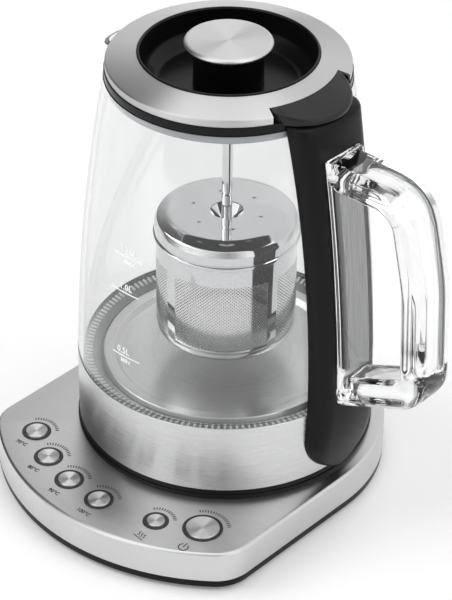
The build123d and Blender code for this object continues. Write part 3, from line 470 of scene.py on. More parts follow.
def object_place(material, centre=(0.0, 0.0, 0.0)):
    """Object coordinates in metres, counted from a centre in mm."""
    tree = material.node_tree
    source = tree.nodes.new("ShaderNodeTexCoord")
    shift = tree.nodes.new("ShaderNodeMapping")
    set_inputs(shift, Location=Vector(centre) * -MM)
    tree.links.new(source.outputs["Object"], shift.inputs["Vector"])
    return shift.outputs["Vector"]


def use_group(material, group, place, **values):
    node = material.node_tree.nodes.new("ShaderNodeGroup")
    node.node_tree = group
    material.node_tree.links.new(place, node.inputs["Vector"])
    set_inputs(node, **values)
    return node


def color_ramp(tree, value, *stops, interpolation="LINEAR"):
    """Colour that follows a value through (position, colour) stops."""
    node = tree.nodes.new("ShaderNodeValToRGB")
    bar = node.color_ramp
    bar.interpolation = interpolation
    while len(bar.elements) < len(stops):
        bar.elements.new(1.0)
    for element, (position, color) in zip(bar.elements, stops):
        element.position = position
        element.color = (*color, 1)
    tree.links.new(value, node.inputs["Fac"])
    return node.outputs["Color"]


def steel(name, group, tones, roughness, spread, anisotropy, centre=(0.0, 0.0, 0.0), **lines):
    """Steel whose fine lines shift it between two tones; also gives where it reads its pattern."""
    material = plain(name, tones[1], roughness, Metallic=1.0, Anisotropic=anisotropy)
    place = object_place(material, centre)
    pattern = use_group(material, group, place, Roughness=roughness, Spread=spread, **lines)
    tone = color_ramp(material.node_tree, pattern.outputs["Mask"], (0.35, tones[0]), (0.65, tones[1]))
    feed(material, pattern.outputs["Roughness"], "Roughness")
    feed(material, tone, "Base Color")
    return material, place


def brushed_steel(name, stretch, roughness, tones, across):
    """Sheet steel brushed in one direction, its highlights drawn out across the lines."""
    material, _ = steel(name, BRUSH, tones, roughness, 0.12, 0.8, Stretch=stretch)
    tangent = material.node_tree.nodes.new("ShaderNodeCombineXYZ")
    set_inputs(tangent, **dict(zip("XYZ", across)))
    feed(material, tangent.outputs[0], "Tangent")
    return material


def turned_steel(name, roughness, tones, centre=(0.0, 0.0), anisotropy=0.85, density=9000.0):
    """Steel turned on a lathe: rings round a centre, and highlights drawn out across them."""
    material, place = steel(name, TURNED, tones, roughness, 0.18, anisotropy, (*centre, 0.0),
                            Density=density)
    tree = material.node_tree
    outwards = tree.nodes.new("ShaderNodeVectorMath")
    outwards.operation = "MULTIPLY"
    outwards.inputs[1].default_value = (1, 1, 0)
    tree.links.new(place, outwards.inputs[0])
    feed(material, outwards.outputs[0], "Tangent")
    return material


def moulded(name, color, roughness, scale=90.0, spread=0.12, grain=0.0, **values):
    """Moulded plastic or rubber with a slightly uneven sheen."""
    material = plain(name, color, roughness, **values)
    uneven = use_group(material, MOTTLE, object_place(material), Scale=scale,
                       Roughness=roughness, Spread=spread)
    feed(material, uneven.outputs["Roughness"], "Roughness")
    if grain:
        tree = material.node_tree
        bump = tree.nodes.new("ShaderNodeBump")
        set_inputs(bump, Strength=grain, Distance=0.2 * MM)
        tree.links.new(uneven.outputs["Mask"], bump.inputs["Height"])
        feed(material, bump.outputs["Normal"], "Normal")
    return material


def mix_shaders(tree, share, first, second):
    """Node that goes from one shader to a second as the share goes from 0 to 1."""
    mix = tree.nodes.new("ShaderNodeMixShader")
    for socket, source in zip(mix.inputs, (share, first.outputs[0], second.outputs[0])):
        tree.links.new(source, socket)
    return mix


def see_through(name, color, roughness, ior, shadow, edge=None):
    """Clear glass or acrylic that lets plain light through; edge is a painted shade, the darker tone it
    is given where it is seen edge on.
    """
    material = plain(name, color, roughness, IOR=ior, Transmission_Weight=1.0)
    tree = material.node_tree
    if edge:
        # Painted shade: the base colour darkens towards the outline, where the glass is seen edge on.
        facing = tree.nodes.new("ShaderNodeLayerWeight").outputs["Facing"]
        feed(material, color_ramp(tree, facing, (0.8, color), (1.0, grey(edge))), "Base Color")
    path = tree.nodes.new("ShaderNodeLightPath")
    clear = tree.nodes.new("ShaderNodeBsdfTransparent")
    set_inputs(clear, Color=(*shadow, 1))
    mix = mix_shaders(tree, path.outputs["Is Shadow Ray"], tree.nodes["Principled BSDF"], clear)
    tree.links.new(mix.outputs[0], tree.nodes["Material Output"].inputs["Surface"])
    return material


STEEL_TONES = (grey(0.60, 0.005), grey(0.70, 0.005))
base_steel = brushed_steel("Base steel", (60.0, 8000.0, 8000.0), 0.30, STEEL_TONES, (0, 1, 0.2))
band_steel = brushed_steel("Band steel", (60.0, 60.0, 8000.0), 0.27, STEEL_TONES, (0, 0, 1))
ring_steel = turned_steel("Lid ring steel", 0.37, STEEL_TONES, anisotropy=0.95)
knob_steel = turned_steel("Knob steel", 0.34, (grey(0.64), grey(0.78)))
plate_steel = turned_steel("Heating plate steel", 0.30, (grey(0.55), grey(0.68)))
polished = plain("Polished steel", grey(0.74, 0.01), 0.06, Metallic=1.0)
screen_steel = plain("Screen steel", grey(0.86), 0.16, Metallic=1.0)
gloss_black = moulded("Gloss black", grey(0.005, 0.0005), 0.24, spread=0.05, Specular_IOR_Level=0.2)
satin_black = moulded("Satin black", grey(0.006, 0.0005), 0.36, grain=0.04, scale=900.0,
                      Specular_IOR_Level=0.16)
tab_black = moulded("Black cap", grey(0.012, 0.0005), 0.32, spread=0.05, Specular_IOR_Level=0.35)
bezel_black = moulded("Bezel black", grey(0.022, 0.001), 0.3, spread=0.05)
# The last value of the glass is its painted shade at the outline.
clear_glass = see_through("Clear glass", (0.90, 0.905, 0.905), 0.0, 1.47, (0.93, 0.94, 0.94), 0.25)
clear_acrylic = see_through("Clear acrylic", (0.95, 0.955, 0.955), 0.02, 1.49, (0.86, 0.87, 0.87))
silicone = plain("Clear silicone", (0.84, 0.85, 0.86), 0.22, IOR=1.41, Transmission_Weight=0.25)
# Dark grey copy of the clear silicone: painted shade, for the shade the seal ring lies in.
painted_shade_silicone = plain("Silicone in shade", (0.16, 0.165, 0.17), 0.3)
lip_silicone = moulded("Grey silicone", (0.60, 0.62, 0.65), 0.35)
# White print whose weak emission is a painted glow: the marks give off light though they are no lamp.
glowing_white_print = plain("White print with painted glow", grey(0.95), 0.5, Emission_Color=(1, 1, 1, 1), Emission_Strength=0.2)
dark_print = plain("Dark print", grey(0.035, 0.002), 0.5)

LOOK_OF_SLOT = {
    "steel_brushed": base_steel,
    "steel_polished": polished,
    "steel_spun": knob_steel,
    "steel_mesh": screen_steel,
    "steel_heater": plate_steel,
    "black_gloss": gloss_black,
    "black_satin": satin_black,
    "black_matte": moulded("Matt black", grey(0.02), 0.55, grain=0.1, scale=700.0),
    "clear_glass": clear_glass,
    "clear_acrylic": clear_acrylic,
    "clear_silicone": silicone,
    "grey_insert": brushed_steel("Grey foil", (60.0, 3000.0, 60.0), 0.34, (grey(0.24), grey(0.42)),
                                 (0, 1, 0)),
    "rubber_black": moulded("Black rubber", grey(0.016), 0.7, grain=0.1, scale=500.0),
    "brass": plain("Brass", (0.72, 0.52, 0.22), 0.28, Metallic=1.0),
    "zinc_screw": plain("Zinc", grey(0.55, 0.02), 0.35, Metallic=1.0),
    "aluminium_bare": plain("Aluminium", (0.72, 0.73, 0.75), 0.38, Metallic=1.0),
    "board_green": moulded("Solder mask", (0.02, 0.12, 0.05), 0.4),
    "component_dark": moulded("Dark housing", grey(0.03, 0.004), 0.5),
    "component_blue": moulded("Blue housing", (0.02, 0.06, 0.22), 0.35),
    "bush_white": moulded("Bearing plastic", (0.72, 0.72, 0.70), 0.45),
}
for entry in frame["record"]["subparts"]:
    dress(frame["nodes"][entry["node"]], LOOK_OF_SLOT[entry["material_slot"]])


# ---------------------------------------------------------------- base unit
def base_plan(inset=0.0):
    """Plan of the base: round back, straight sides, two round corners and a wide round front."""
    half, front, corner = BASE_HALF_WIDTH - inset, BASE_FRONT_R - inset, BASE_CORNER_R - inset
    cx = half - corner
    cy = -sqrt((front - corner) ** 2 - cx ** 2)
    meet = degrees(atan2(cy, cx))
    return (arc(0, 0, half, 0, 180, 90) + arc(-cx, cy, corner, 180, 180 - meet, 10)
            + arc(0, 0, front, 180 - meet, 360 + meet, 32)[1:-1] + arc(cx, cy, corner, meet, 0, 10))


def make_base_shell():
    """Steel cover: the plan raised, its top edge rolled over, then holes for buttons and seat."""
    shell = slab("steel_cover", base_plan(), SHELL_Z0, BASE_TOP)
    round_edges(shell, lambda x, y, z: z > BASE_TOP - 0.01, BASE_EDGE_R, 6)
    low, high = BASE_TOP - 7, BASE_TOP + 8
    holes = [drill(OPENING_R, low, high, steps=96)]
    for angle, bezel_r, _ in BUTTONS.values():
        holes.append(drill(bezel_r - 0.6, low, high, centre=polar(BUTTON_CIRCLE_R, angle)))
    cut(shell, *holes)
    smooth(shell, 30)
    finish_piece(shell, base_steel, "base", "steel_brushed", "base_shell")


def make_rim():
    """Black moulded rim of the floor tray, in line with the steel cover above it."""
    rim = slab("tray_rim", base_plan(0.2), RIM_Z0, SHELL_Z0)
    round_edges(rim, lambda x, y, z: z < RIM_Z0 + 0.01, 0.4, 2)
    cut(rim, slab("inside", base_plan(1.5), 1.0, 5.0))
    smooth(rim, 30)
    finish_piece(rim, satin_black, "base", "black_matte")


def make_seat():
    """Black dish let into the cover, with the raised rim that carries the jug."""
    outline = rounded((21.0, 21.0), (59.0, 21.0), (59.0, 16.0), (61.7, 16.0), (61.7, BASE_TOP),
                      (SEAT_R, BASE_TOP), (SEAT_R, SEAT_TOP, 0.5), (66.5, SEAT_TOP, 0.4),
                      (65.3, 22.9, 0.3), (24.5, 22.9), (23.0, 23.8, 0.4), (21.0, 23.8))
    finish_piece(lathe("seat_dish", outline), gloss_black, "base", "black_gloss", "seat_plate")


def make_buttons():
    """Spun caps in dark bezels, each cap on its own body."""
    bezels = []
    for key, (angle, bezel_r, cap_r) in BUTTONS.items():
        spot = polar(BUTTON_CIRCLE_R, angle)
        bore = cap_r + 0.45
        bezels.append(lathe("bezel", rounded(
            (bore, 18.0), (bezel_r - 0.75, 18.0), (bezel_r - 0.75, BASE_TOP), (bezel_r, BASE_TOP),
            (bezel_r, BASE_TOP + 0.4, 0.25), (bore, BASE_TOP + 0.4, 0.15), segments=3),
            steps=SMALL, centre=spot))
        cap = lathe(f"cap_{key}", rounded(
            (0, 15.9), (2.4, 15.9), (2.4, 17.0), (cap_r + 0.9, 17.0), (cap_r + 0.9, 18.0),
            (cap_r + 0.2, 18.0), (cap_r + 0.2, 22.9, 0.5), (cap_r - 0.7, 22.75, 0.2), (0, 22.5),
            segments=3), steps=SMALL, centre=spot, closed=False)
        finish = turned_steel(f"Cap steel {key}", 0.42, (grey(0.62), grey(0.80)), spot,
                              anisotropy=0.97, density=5000.0)
        finish_piece(cap, finish, f"key_{key}", "steel_spun", f"button_{key}")
    finish_piece(join("bezels", bezels), bezel_black, "base", "black_satin", "button_bezels")


def make_prints():
    """Temperatures, the two signs and an arc of ticks, printed beside their buttons."""
    print_z = BASE_TOP + 2 * INK
    prints = []
    for key, turn in LABEL_TURNS.items():
        x, y = polar(BUTTON_CIRCLE_R, BUTTONS[key][0])
        label = word(key.upper().replace("C", "\u00b0C"), LABEL_SIZE, 0.09)
        prints.append(place(label, x + LABEL_SHIFT, y - LABEL_DROP, print_z, turn))
    prints.append(place(power_sign(), *POWER_SIGN_AT, print_z, 8))
    prints.append(place(heat_sign(), *HEAT_SIGN_AT, print_z, -7))
    tick = slab("tick", rectangle(-0.85, 0.85, -0.26, 0.26), -INK, INK)
    for angle, bezel_r, _ in BUTTONS.values():
        reach = bezel_r + TICK_GAP
        x, y = polar(BUTTON_CIRCLE_R, angle)
        gaps = round(radians(TICK_ARC[1] - TICK_ARC[0]) * reach / TICK_PITCH)
        for turn in frange(*TICK_ARC, gaps):
            out = polar(reach, turn)
            prints.append(place(copy_of(tick, "tick"), x + out[0], y + out[1], print_z, turn))
    bpy.data.objects.remove(tick)
    finish_piece(join("prints", prints), dark_print, "base", "black_matte")


def power_sign():
    """Open ring with an upright bar through its gap."""
    ring = lathe("sign", rectangle(2.0, 2.6, -INK, INK), steps=40, sweep=296, start=58)
    bar = slab("bar", rectangle(-0.28, 0.28, -0.2, 3.2), -INK, INK)
    return join("sign", [ring, bar])


def heat_sign():
    """Three rising waves over a line."""
    half_line = 0.28
    strokes = [slab("line", rectangle(-3.2, 3.2, -2.5, -2.0), -INK, INK)]
    for x in (-1.7, 0.0, 1.7):
        rise = [(x + 0.45 * sin(t * 0.8), -1.3 + 0.38 * t) for t in range(9)]
        sides = [(w - half_line, h) for w, h in rise] + [(w + half_line, h) for w, h in reversed(rise)]
        strokes.append(slab("wave", sides, -INK, INK))
    return join("sign", strokes)


# ---------------------------------------------------------------- jug
def make_marks():
    """White volume lines and numbers on the glass, left of the handle."""
    marks = []
    for height, left, right, number, below in VOLUME_MARKS:
        line = slab("mark", rectangle(left, right, height - 0.32, height + 0.32), INK, 3 * INK)
        subdivide(line, 4)
        marks.append(line)
        marks.append(place(word(number, 4.6, 0.06), -0.5, height + 2.8, 2 * INK))
        if below:
            marks.append(place(word(below, 3.2, 0.05), 1.0, height - 2.5, 2 * INK))
    marks = join("marks", marks)
    wrap(marks, glass_r, -89.8)
    finish_piece(marks, glowing_white_print, "jug", "bush_white")


def make_glass():
    """Swelling glass wall with a pulled spout, on a ground neck."""
    foot = [(71.4, 59.9), (71.4, 62.9), (GLASS_R - 0.2, BAND_TOP)]
    outline = foot + [(glass_r(z), z) for z in frange(BAND_TOP + 0.8, GLASS_RIM_Z, 64)]
    glass = lathe("glass_wall", outline, steps=288, closed=False)
    pull_spout(glass)
    modify(glass, "SOLIDIFY", thickness=GLASS_WALL * MM, offset=-1.0, use_even_offset=True)
    smooth(glass, 60)
    finish_piece(glass, clear_glass, "jug", "clear_glass", "glass_jug")


def pull_spout(glass):
    """Draws the rim out into a beak opposite the handle and lets its lip fall towards the tip.

    At each height the beak is a circle, narrow at the spout's foot and wide at the rim, and the
    wall blends into it softly.
    """
    foot_centre, centre_shift, foot_r = 60.6, 4.1, 3.0
    blend, steepness, full_pull = 2.2, 3.0, 17.3
    for vertex in glass.data.vertices:
        x, y, z = vertex.co / MM
        if z < SPOUT_FOOT_Z - 12 or x > 0:
            continue
        wall = hypot(x, y)
        off = abs(atan2(y, -x))
        rise = max(0.0, (z - SPOUT_FOOT_Z) / (GLASS_RIM_Z - SPOUT_FOOT_Z))
        centre = foot_centre - centre_shift * rise
        beak_r = foot_r + (SPOUT_R - foot_r) * rise
        inside = beak_r ** 2 - (centre * sin(off)) ** 2
        beak = centre * cos(off) + (sqrt(inside) if inside > 0 else -steepness * sqrt(-inside))
        gap = beak - wall
        share = min(1.0, max(0.0, rise + 0.3))
        pulled = min(SPOUT_REACH, wall + (gap + sqrt(gap * gap + blend * blend)) / 2 * share)
        fall = SPOUT_DROP * max(0.0, pulled - GLASS_RIM_R - 0.2) / full_pull
        vertex.co = Vector((x * pulled / wall, y * pulled / wall, z - fall * rise ** 3)) * MM


def make_band():
    """Brushed steel housing of the heater."""
    outline = rounded((71.8, 27.0), (BAND_R, 27.0), (BAND_R, BAND_TOP, 0.4), (71.8, BAND_TOP))
    finish_piece(lathe("band", outline), band_steel, "jug", "steel_brushed", "heater_band")


def make_bottom_cover():
    """Black foot of the jug, stepped below the steel band."""
    outline = rounded((25.0, 25.4), (66.5, 25.4), (67.5, SEAT_TOP), (72.8, SEAT_TOP, 0.6),
                      (72.8, 27.0, 0.2), (71.6, 27.0), (71.6, 33.0), (69.8, 33.0), (69.8, 27.2),
                      (27.0, 27.2), (27.0, 36.0), (25.0, 36.0))
    finish_piece(lathe("jug_foot", outline), gloss_black, "jug", "black_gloss", "jug_bottom_cover")


def make_plate():
    """Steel floor of the jug with its raised ring."""
    ring_z = FLOOR_Z + 2.6
    outline = rounded((0, FLOOR_Z), (52.4, FLOOR_Z, 0.8), (54.8, ring_z, 0.8), (60.0, ring_z, 0.8),
                      (61.4, 57.4, 0.5), (71.5, 57.4), (71.5, 56.2), (60.4, 56.2),
                      (59.2, ring_z - 1), (55.5, ring_z - 1), (53.1, 57.4), (0, 57.4))
    finish_piece(lathe("jug_floor", outline, closed=False), plate_steel, "jug", "steel_heater",
                 "heating_plate")


def make_seal():
    """Clear ribbed ring below the glass: the ribs are one block, copied round the axis."""
    ring = lathe("seal", rounded((61.8, 57.4), (71.5, 57.4), (71.5, 59.9), (69.7, 59.9),
                                 (69.7, 62.2, 0.4), (65.2, 61.2, 0.4), (61.8, 59.2, 0.3)))
    # The ring wears the painted shade instead of clear silicone.
    finish_piece(ring, painted_shade_silicone, "jug", "clear_silicone", "glass_seal")
    rib_r, rib_z, slope = 67.4, 61.9, radians(12.5)
    deselect()
    bpy.ops.mesh.primitive_cube_add(size=1, location=(rib_r * MM, 0, rib_z * MM), rotation=(0, -slope, 0))
    rib = bpy.context.object
    rib.scale = (4.0 * MM, 1.1 * MM, 1.0 * MM)
    settle(rib, "rib")
    modify(rib, "BEVEL", width=0.3 * MM, segments=2)
    smooth(rib, 50)
    ribs = [rib]
    for i in range(1, RIB_COUNT):
        ribs.append(place(copy_of(rib, "rib"), 0, 0, 0, 360 * i / RIB_COUNT))
    finish_piece(join("seal_ribs", ribs), silicone, "jug", "clear_silicone")


def make_grip():
    """Clear loop, its rounded section carried along straight runs and bends, on its back plate."""
    wide, deep, corner = GRIP_HALF_WIDTH, GRIP_HALF_DEPTH, GRIP_CORNER_R
    section = rounded((-wide, -deep, corner), (wide, -deep, corner), (wide, deep, corner),
                      (-wide, deep, corner), segments=7)
    here, foot = Vector((70.5, 191.5)), Vector((80.5, 76.8))
    bends = [(Vector((110.0, 191.5)), 16.0, 14), (Vector((119.4, 150.0)), 90.0, 6),
             (Vector((122.0, 95.0)), 14.0, 14)]         # knee, radius, steps
    route = [here] + [knee for knee, _, _ in bends] + [foot]
    trace([(here.x, across, here.y + out) for across, out in section], True)
    for i, (knee, radius, steps) in enumerate(bends):
        back = (route[i] - knee).normalized()
        ahead = (route[i + 2] - knee).normalized()
        half = acos(back.dot(ahead)) / 2
        setback = radius * cos(half) / sin(half)
        centre = knee + (back + ahead).normalized() * radius / sin(half)
        run = knee + back * setback - here
        extrude(Vector((run.x, 0, run.y)) * MM)
        bpy.ops.mesh.spin(steps=steps, angle=2 * half - pi, axis=(0, 1, 0),
                          center=Vector((centre.x, 0, centre.y)) * MM)
        here = knee + ahead * setback
    run = foot - here
    extrude(Vector((run.x, 0, run.y)) * MM)
    merge_doubles()
    bpy.ops.mesh.fill_holes(sides=0)
    loop = close_up("grip")
    cut(loop, spine_strip("behind", inner=-40.0, outer=-1.4, z0=50.0, z1=210.0, half_width=20.0))
    plate = spine_strip("plate", inner=-1.4, outer=2.2, z0=72.0, z1=199.6, half_width=11.9)
    modify(plate, "BEVEL", width=1.2 * MM, segments=3, limit_method="ANGLE", angle_limit=radians(50))
    combine(loop, "UNION", plate)
    smooth(loop, 40)
    finish_piece(loop, clear_acrylic, "jug", "clear_acrylic", "handle_grip")


def make_spine():
    """Black backbone: a rounded section raised in rows, each fitted between glass and outer face."""
    wide, deep, crown = 20.0, 8.0, 2.0
    crown_z, toe_end_z = SPINE_TOP_Z - crown, SPINE_TOE_Z + SPINE_FOOT_R
    rows = [toe_end_z + 0.05 - SPINE_FOOT_R * cos(radians(a)) for a in frange(0, 90, 14)]
    rows += frange(rows[-1], crown_z, 40)[1:] + [crown_z + crown * sin(radians(a)) for a in (30, 60, 90)]
    trace([(depth, across, rows[0]) for depth, across in spine_section(wide, deep)], True)
    bpy.ops.mesh.edge_face_add()
    for low, high in zip(rows, rows[1:]):
        extrude((0, 0, (high - low) * MM))
    spine = close_up("spine")
    for vertex in spine.data.vertices:
        depth, across, z = vertex.co / MM
        into_crown = max(0.0, z - crown_z)
        shrink = crown - sqrt(max(0.0, crown ** 2 - into_crown ** 2))
        y = across * (spine_half_width(z) - shrink) / wide
        inner = glass_r(z) + 0.4 if z > BAND_TOP else BAND_R + 0.3
        reach = inner if depth > deep - 0.01 else max(spine_face(z) - depth - shrink, inner + 0.1)
        vertex.co = Vector((sqrt(reach * reach - y * y), y, z)) * MM
    edit(spine)
    close_up("spine")
    cut(spine, spine_strip("plate_pocket", inner=-1.6, outer=6.0, z0=71.8, z1=199.8, half_width=12.05),
        spine_strip("insert_pocket", inner=-2.7, outer=0.0, z0=85.8, z1=183.2, half_width=9.7))
    smooth(spine, 35)
    finish_piece(spine, satin_black, "jug", "black_satin", "handle_spine")


def spine_section(wide, deep):
    """Outline of (depth, across) points: the inner side, then the outer one with round corners."""
    corner, one_corner = 6.0, CORNER_STEPS + 1
    corners = rounded((0, wide, corner), (0, -wide, corner), (deep, -wide), (deep, wide))
    left, right = corners[:one_corner], corners[one_corner:2 * one_corner]
    inner_side = [(deep, y) for y in frange(-wide, wide, 14)]
    face = [(0, y) for y in frange(12.5, -12.5, 10)]
    return inner_side + left + face + right


def spine_half_width(z):
    """Half width of the spine: a little waisted, with a half-round toe."""
    centre = SPINE_TOE_Z + SPINE_FOOT_R
    if z < centre:
        return max(0.5, sqrt(max(0.0, SPINE_FOOT_R ** 2 - (centre - z) ** 2)))
    t = (z - centre) / (SPINE_TOP_Z - centre)
    return SPINE_FOOT_R * (1 - t) + SPINE_HEAD_W * t - SPINE_WAIST * 4 * t * (1 - t)


def spine_face(z):
    """Radius of the spine's outer face, which curves in towards the toe."""
    if z >= SPINE_BEND_Z:
        return spine_r(z)
    bend_r = 119.3
    return SPINE_BEND_R - (bend_r - sqrt(bend_r ** 2 - (SPINE_BEND_Z - z) ** 2))


def spine_strip(name, inner, outer, z0, z1, half_width):
    """A strip that follows the spine's face between two offsets from it."""
    heights = frange(z0, z1, 40)
    side = [(spine_r(z, outer), -half_width, z) for z in heights]
    side += [(spine_r(z, inner), -half_width, z) for z in reversed(heights)]
    trace(side, True)
    bpy.ops.mesh.edge_face_add()
    extrude((0, 2 * half_width * MM, 0))
    return close_up(name)


# ---------------------------------------------------------------- lid and infuser
def make_lid():
    """Steel ring with its cut-out, and the black dish and plug below it."""
    ring = lathe("lid_steel", rounded(
        (42.1, 225.1, 0.2), (56.7, 221.3, 1.0), (56.7, 217.8), (55.9, 217.8), (55.9, 220.3, 0.6),
        (55.2, 220.6), (42.1, 224.3)))
    cut(ring, slab("notch", fan(51.0, 70.0, 0.0, 27.5, 16), 215, 230))
    smooth(ring, 30)
    finish_piece(ring, ring_steel, "lid", "steel_brushed", "lid_ring")
    dish = lathe("lid_dish", rounded(
        (7.5, 207.8), (7.5, 209.8), (33.5, 209.8, 5.0), (39.6, 214.5, 6.0), (40.5, 225.0, 1.0),
        (41.0, 225.7, 0.3), (41.9, 225.6, 0.3), (41.9, 224.2), (55.3, 220.2), (55.3, 217.6),
        (57.2, 217.6, 0.3), (57.2, 213.5, 0.3), (54.2, 213.5), (54.2, 208.6, 0.4),
        (47.2, 204.4, 0.4), (45.5, 204.4), (51.6, 209.8), (51.6, 217.0), (44.0, 219.2),
        (42.4, 219.2), (42.2, 217.0), (41.0, 212.5), (36.0, 207.8)))
    cut(dish, slab("notch", fan(50.8, 70.0, 0.0, 27.8, 16), 217.6, 230))
    smooth(dish, 30)
    finish_piece(dish, gloss_black, "lid", "black_gloss", "lid_body")
    lip = lathe("lid_lip", rounded(
        (52.0, 207.1), (54.3, 208.5), (54.8, 208.9, 0.2), (55.1, 210.6, 0.6), (54.8, 213.3),
        (54.25, 213.3), (54.25, 208.7)))
    finish_piece(lip, lip_silicone, "lid", "clear_silicone", "lid_seal")
    under = lathe("lid_under", rounded((0, 203.6), (46.5, 203.6, 0.3), (46.5, 204.4, 0.3), (0, 204.4)),
                  closed=False)
    cut(under, drill(7.0, 200, 210, steps=64))
    smooth(under, 30)
    finish_piece(under, satin_black, "lid", "steel_heater", "lid_underplate")


def make_tab():
    """Black cap over the top of the handle: it fills the ring's cut-out and ends in a half round."""
    middle, end_r = 41.8, 24.6
    tab = lathe("tab", [(49.0, 216.4), (49.0, 223.5), (68.0, 218.1), (68.0, 216.4)])
    plan = arc(0, 0, 51.3, -27.1, 27.1, 16) + arc(middle, 0, end_r, 75, -75, 40)
    combine(tab, "INTERSECT", slab("outline", plan, 210, 230))
    round_edges(tab, lambda x, y, z: z > 217.0 and hypot(x - middle, y) > end_r - 0.1, 1.3, 4)
    smooth(tab, 40)
    finish_piece(tab, tab_black, "lid", "black_satin", "lid_tab")


def make_knob():
    """Black stem, its steel top and the rod that hangs from them."""
    boss = lathe("knob_stem", rounded(
        (2.5, 211.3), (10.4, 211.3), (10.4, 209.8), (16.5, 209.8, 0.4), (16.1, 226.0, 1.0),
        (18.1, 228.4), (2.5, 228.4)), steps=128)
    finish_piece(boss, gloss_black, "infuser", "black_gloss", "knob_boss")
    cap = lathe("knob_top", rounded(
        (0, 228.4), (19.7, 228.4, 0.4), (20.9, 229.4, 0.8), (20.0, 230.5, 0.6), (18.9, 230.8, 0.3),
        (0, 230.5)), steps=160, closed=False)
    finish_piece(cap, knob_steel, "infuser", "steel_spun", "knob_cap")
    rod = lathe("rod", rounded(
        (0, 228.3), (2.5, 228.3), (2.5, 150.6), (2.0, 150.1), (2.0, 149.1), (2.5, 148.6),
        (2.5, 130.1), (1.9, 129.5), (0, 129.5)), steps=48, closed=False)
    finish_piece(rod, polished, "infuser", "steel_polished", "infuser_rod")


def make_basket():
    """Polished cap with vent holes and collar, and the basket shell with four windows."""
    cap = lathe("cap_shell", rounded(
        (7.9, 139.6), (27.8, 139.3, 14.0), (33.4, 137.3, 1.8), (34.7, 134.4, 1.5), (34.7, 130.2),
        (34.4, 129.8), (34.4, 129.3), (35.3, 128.9, 0.4), (35.3, 127.3, 0.4), (34.1, 127.3),
        (34.1, 134.0, 1.2), (33.0, 136.6, 1.5), (27.6, 138.7), (7.9, 139.0)))
    vents = [drill(0.9, 135, 142, steps=24, centre=polar(17.1, 22 + 60 * i)) for i in range(6)]
    notches = [drill(1.3, 135, 142, steps=24, centre=polar(8.2, side)) for side in (-42, 138)]
    cut(cap, *vents, *notches)
    smooth(cap, 30)
    finish_piece(cap, polished, "infuser", "steel_polished", "basket_cap")
    collar = lathe("collar", rounded(
        (2.5, 131.0), (5.4, 131.0, 0.4), (9.6, 138.8, 0.2), (9.0, 138.8), (8.3, 137.7, 0.3),
        (5.0, 132.6, 0.3), (2.5, 132.6)), steps=96)
    finish_piece(collar, polished, "infuser", "steel_polished", "cap_collar")
    shell = lathe("basket_wall", rounded(
        (25.0, 73.2), (34.0, 73.2, 6.0), (34.0, 127.1), (33.7, 127.4), (33.7, 134.0), (33.0, 134.0),
        (33.0, 127.1), (33.3, 126.8), (33.3, 73.9, 5.3), (25.0, 73.9)))
    cut(shell, *[slab("window", fan(30, 37, middle, 40, 20), *WINDOW_Z) for middle in WINDOWS])
    smooth(shell, 30)
    finish_piece(shell, polished, "basket", "steel_polished", "basket_shell")


def sieve(name, width, height, pitch, hole):
    """Flat sheet about the origin with square holes on their corners, trimmed to a rectangle."""
    deselect()
    reach = (width + height) / 1.4
    cells = round(reach / pitch)
    bpy.ops.mesh.primitive_grid_add(x_subdivisions=cells, y_subdivisions=cells, size=reach * MM)
    sheet = settle(bpy.context.object, name)
    edit(sheet)
    bpy.ops.mesh.inset(thickness=(reach / cells - hole) / 2 * MM, use_individual=True)
    bpy.ops.mesh.delete(type="FACE")
    set_mode("OBJECT")
    place(sheet, 0, 0, 0, 45)
    set_mode("EDIT")
    for x, y, side in ((1, 0, width), (-1, 0, width), (0, 1, height), (0, -1, height)):
        select()
        bpy.ops.mesh.bisect(plane_co=(x * side / 2 * MM, y * side / 2 * MM, 0), plane_no=(x, y, 0),
                            clear_outer=True)
    set_mode("OBJECT")
    return sheet


def make_screens():
    """Finely perforated sheets in the four windows and the basket's floor."""
    wall_r, width, height = 33.9, 47.6, WINDOW_Z[1] - WINDOW_Z[0] + 0.4
    for i, middle in enumerate(WINDOWS):
        screen = sieve(f"screen_{i + 1}", width, height, 1.2, 0.74)
        place(screen, 0, sum(WINDOW_Z) / 2, 0)
        wrap(screen, lambda z: wall_r, middle)
        modify(screen, "SOLIDIFY", thickness=0.3 * MM, offset=-1.0)
        smooth(screen, 40)
        replaced = ("basket_screens",) if i == 0 else ()
        finish_piece(screen, screen_steel, "basket", "steel_mesh", *replaced)
    floor_r = 25.4
    floor = sieve("screen_floor", 51.6, 51.6, 1.1, 0.6)
    edit(floor, "DESELECT")
    bpy.ops.mesh.select_mode(type="FACE")
    set_mode("OBJECT")
    for face in floor.data.polygons:
        face.select = face.center.length > floor_r * MM
    set_mode("EDIT")
    bpy.ops.mesh.delete(type="FACE")
    set_mode("OBJECT")
    modify(floor, "SOLIDIFY", thickness=0.3 * MM, offset=-1.0)
    place(floor, 0, 0, 73.7)
    finish_piece(floor, screen_steel, "basket", "steel_mesh", "floor_screen")


# ---------------------------------------------------------------- studio
EVEN_LIGHT, BRIGHTEST, OVERHEAD = 0.45, 1.8, 1.5
OVERHEAD_EDGE = (0.80, 0.92)        # heights of a direction between which the overhead panel begins
PANELS = [                          # direction, brightness
    (-180, 0.06), (-160, 0.06), (-147, 0.15), (-132, 0.5), (-118, 1.2), (-102, 1.7), (-86, 1.2),
    (-72, 1.0), (-57, 0.6), (-42, 0.35), (-27, 0.9), (-12, 1.5), (8, 1.4), (30, 1.0), (60, 0.9),
    (120, 0.92), (144, 0.92), (155, 0.35), (166, 0.06), (180, 0.06)]


def soft_step(tree, value, low, high):
    """0 below low, 1 above high, and a smooth change between."""
    node = tree.nodes.new("ShaderNodeMapRange")
    node.interpolation_type = "SMOOTHSTEP"
    set_inputs(node, From_Min=low, From_Max=high)
    tree.links.new(value, node.inputs["Value"])
    return node.outputs["Result"]


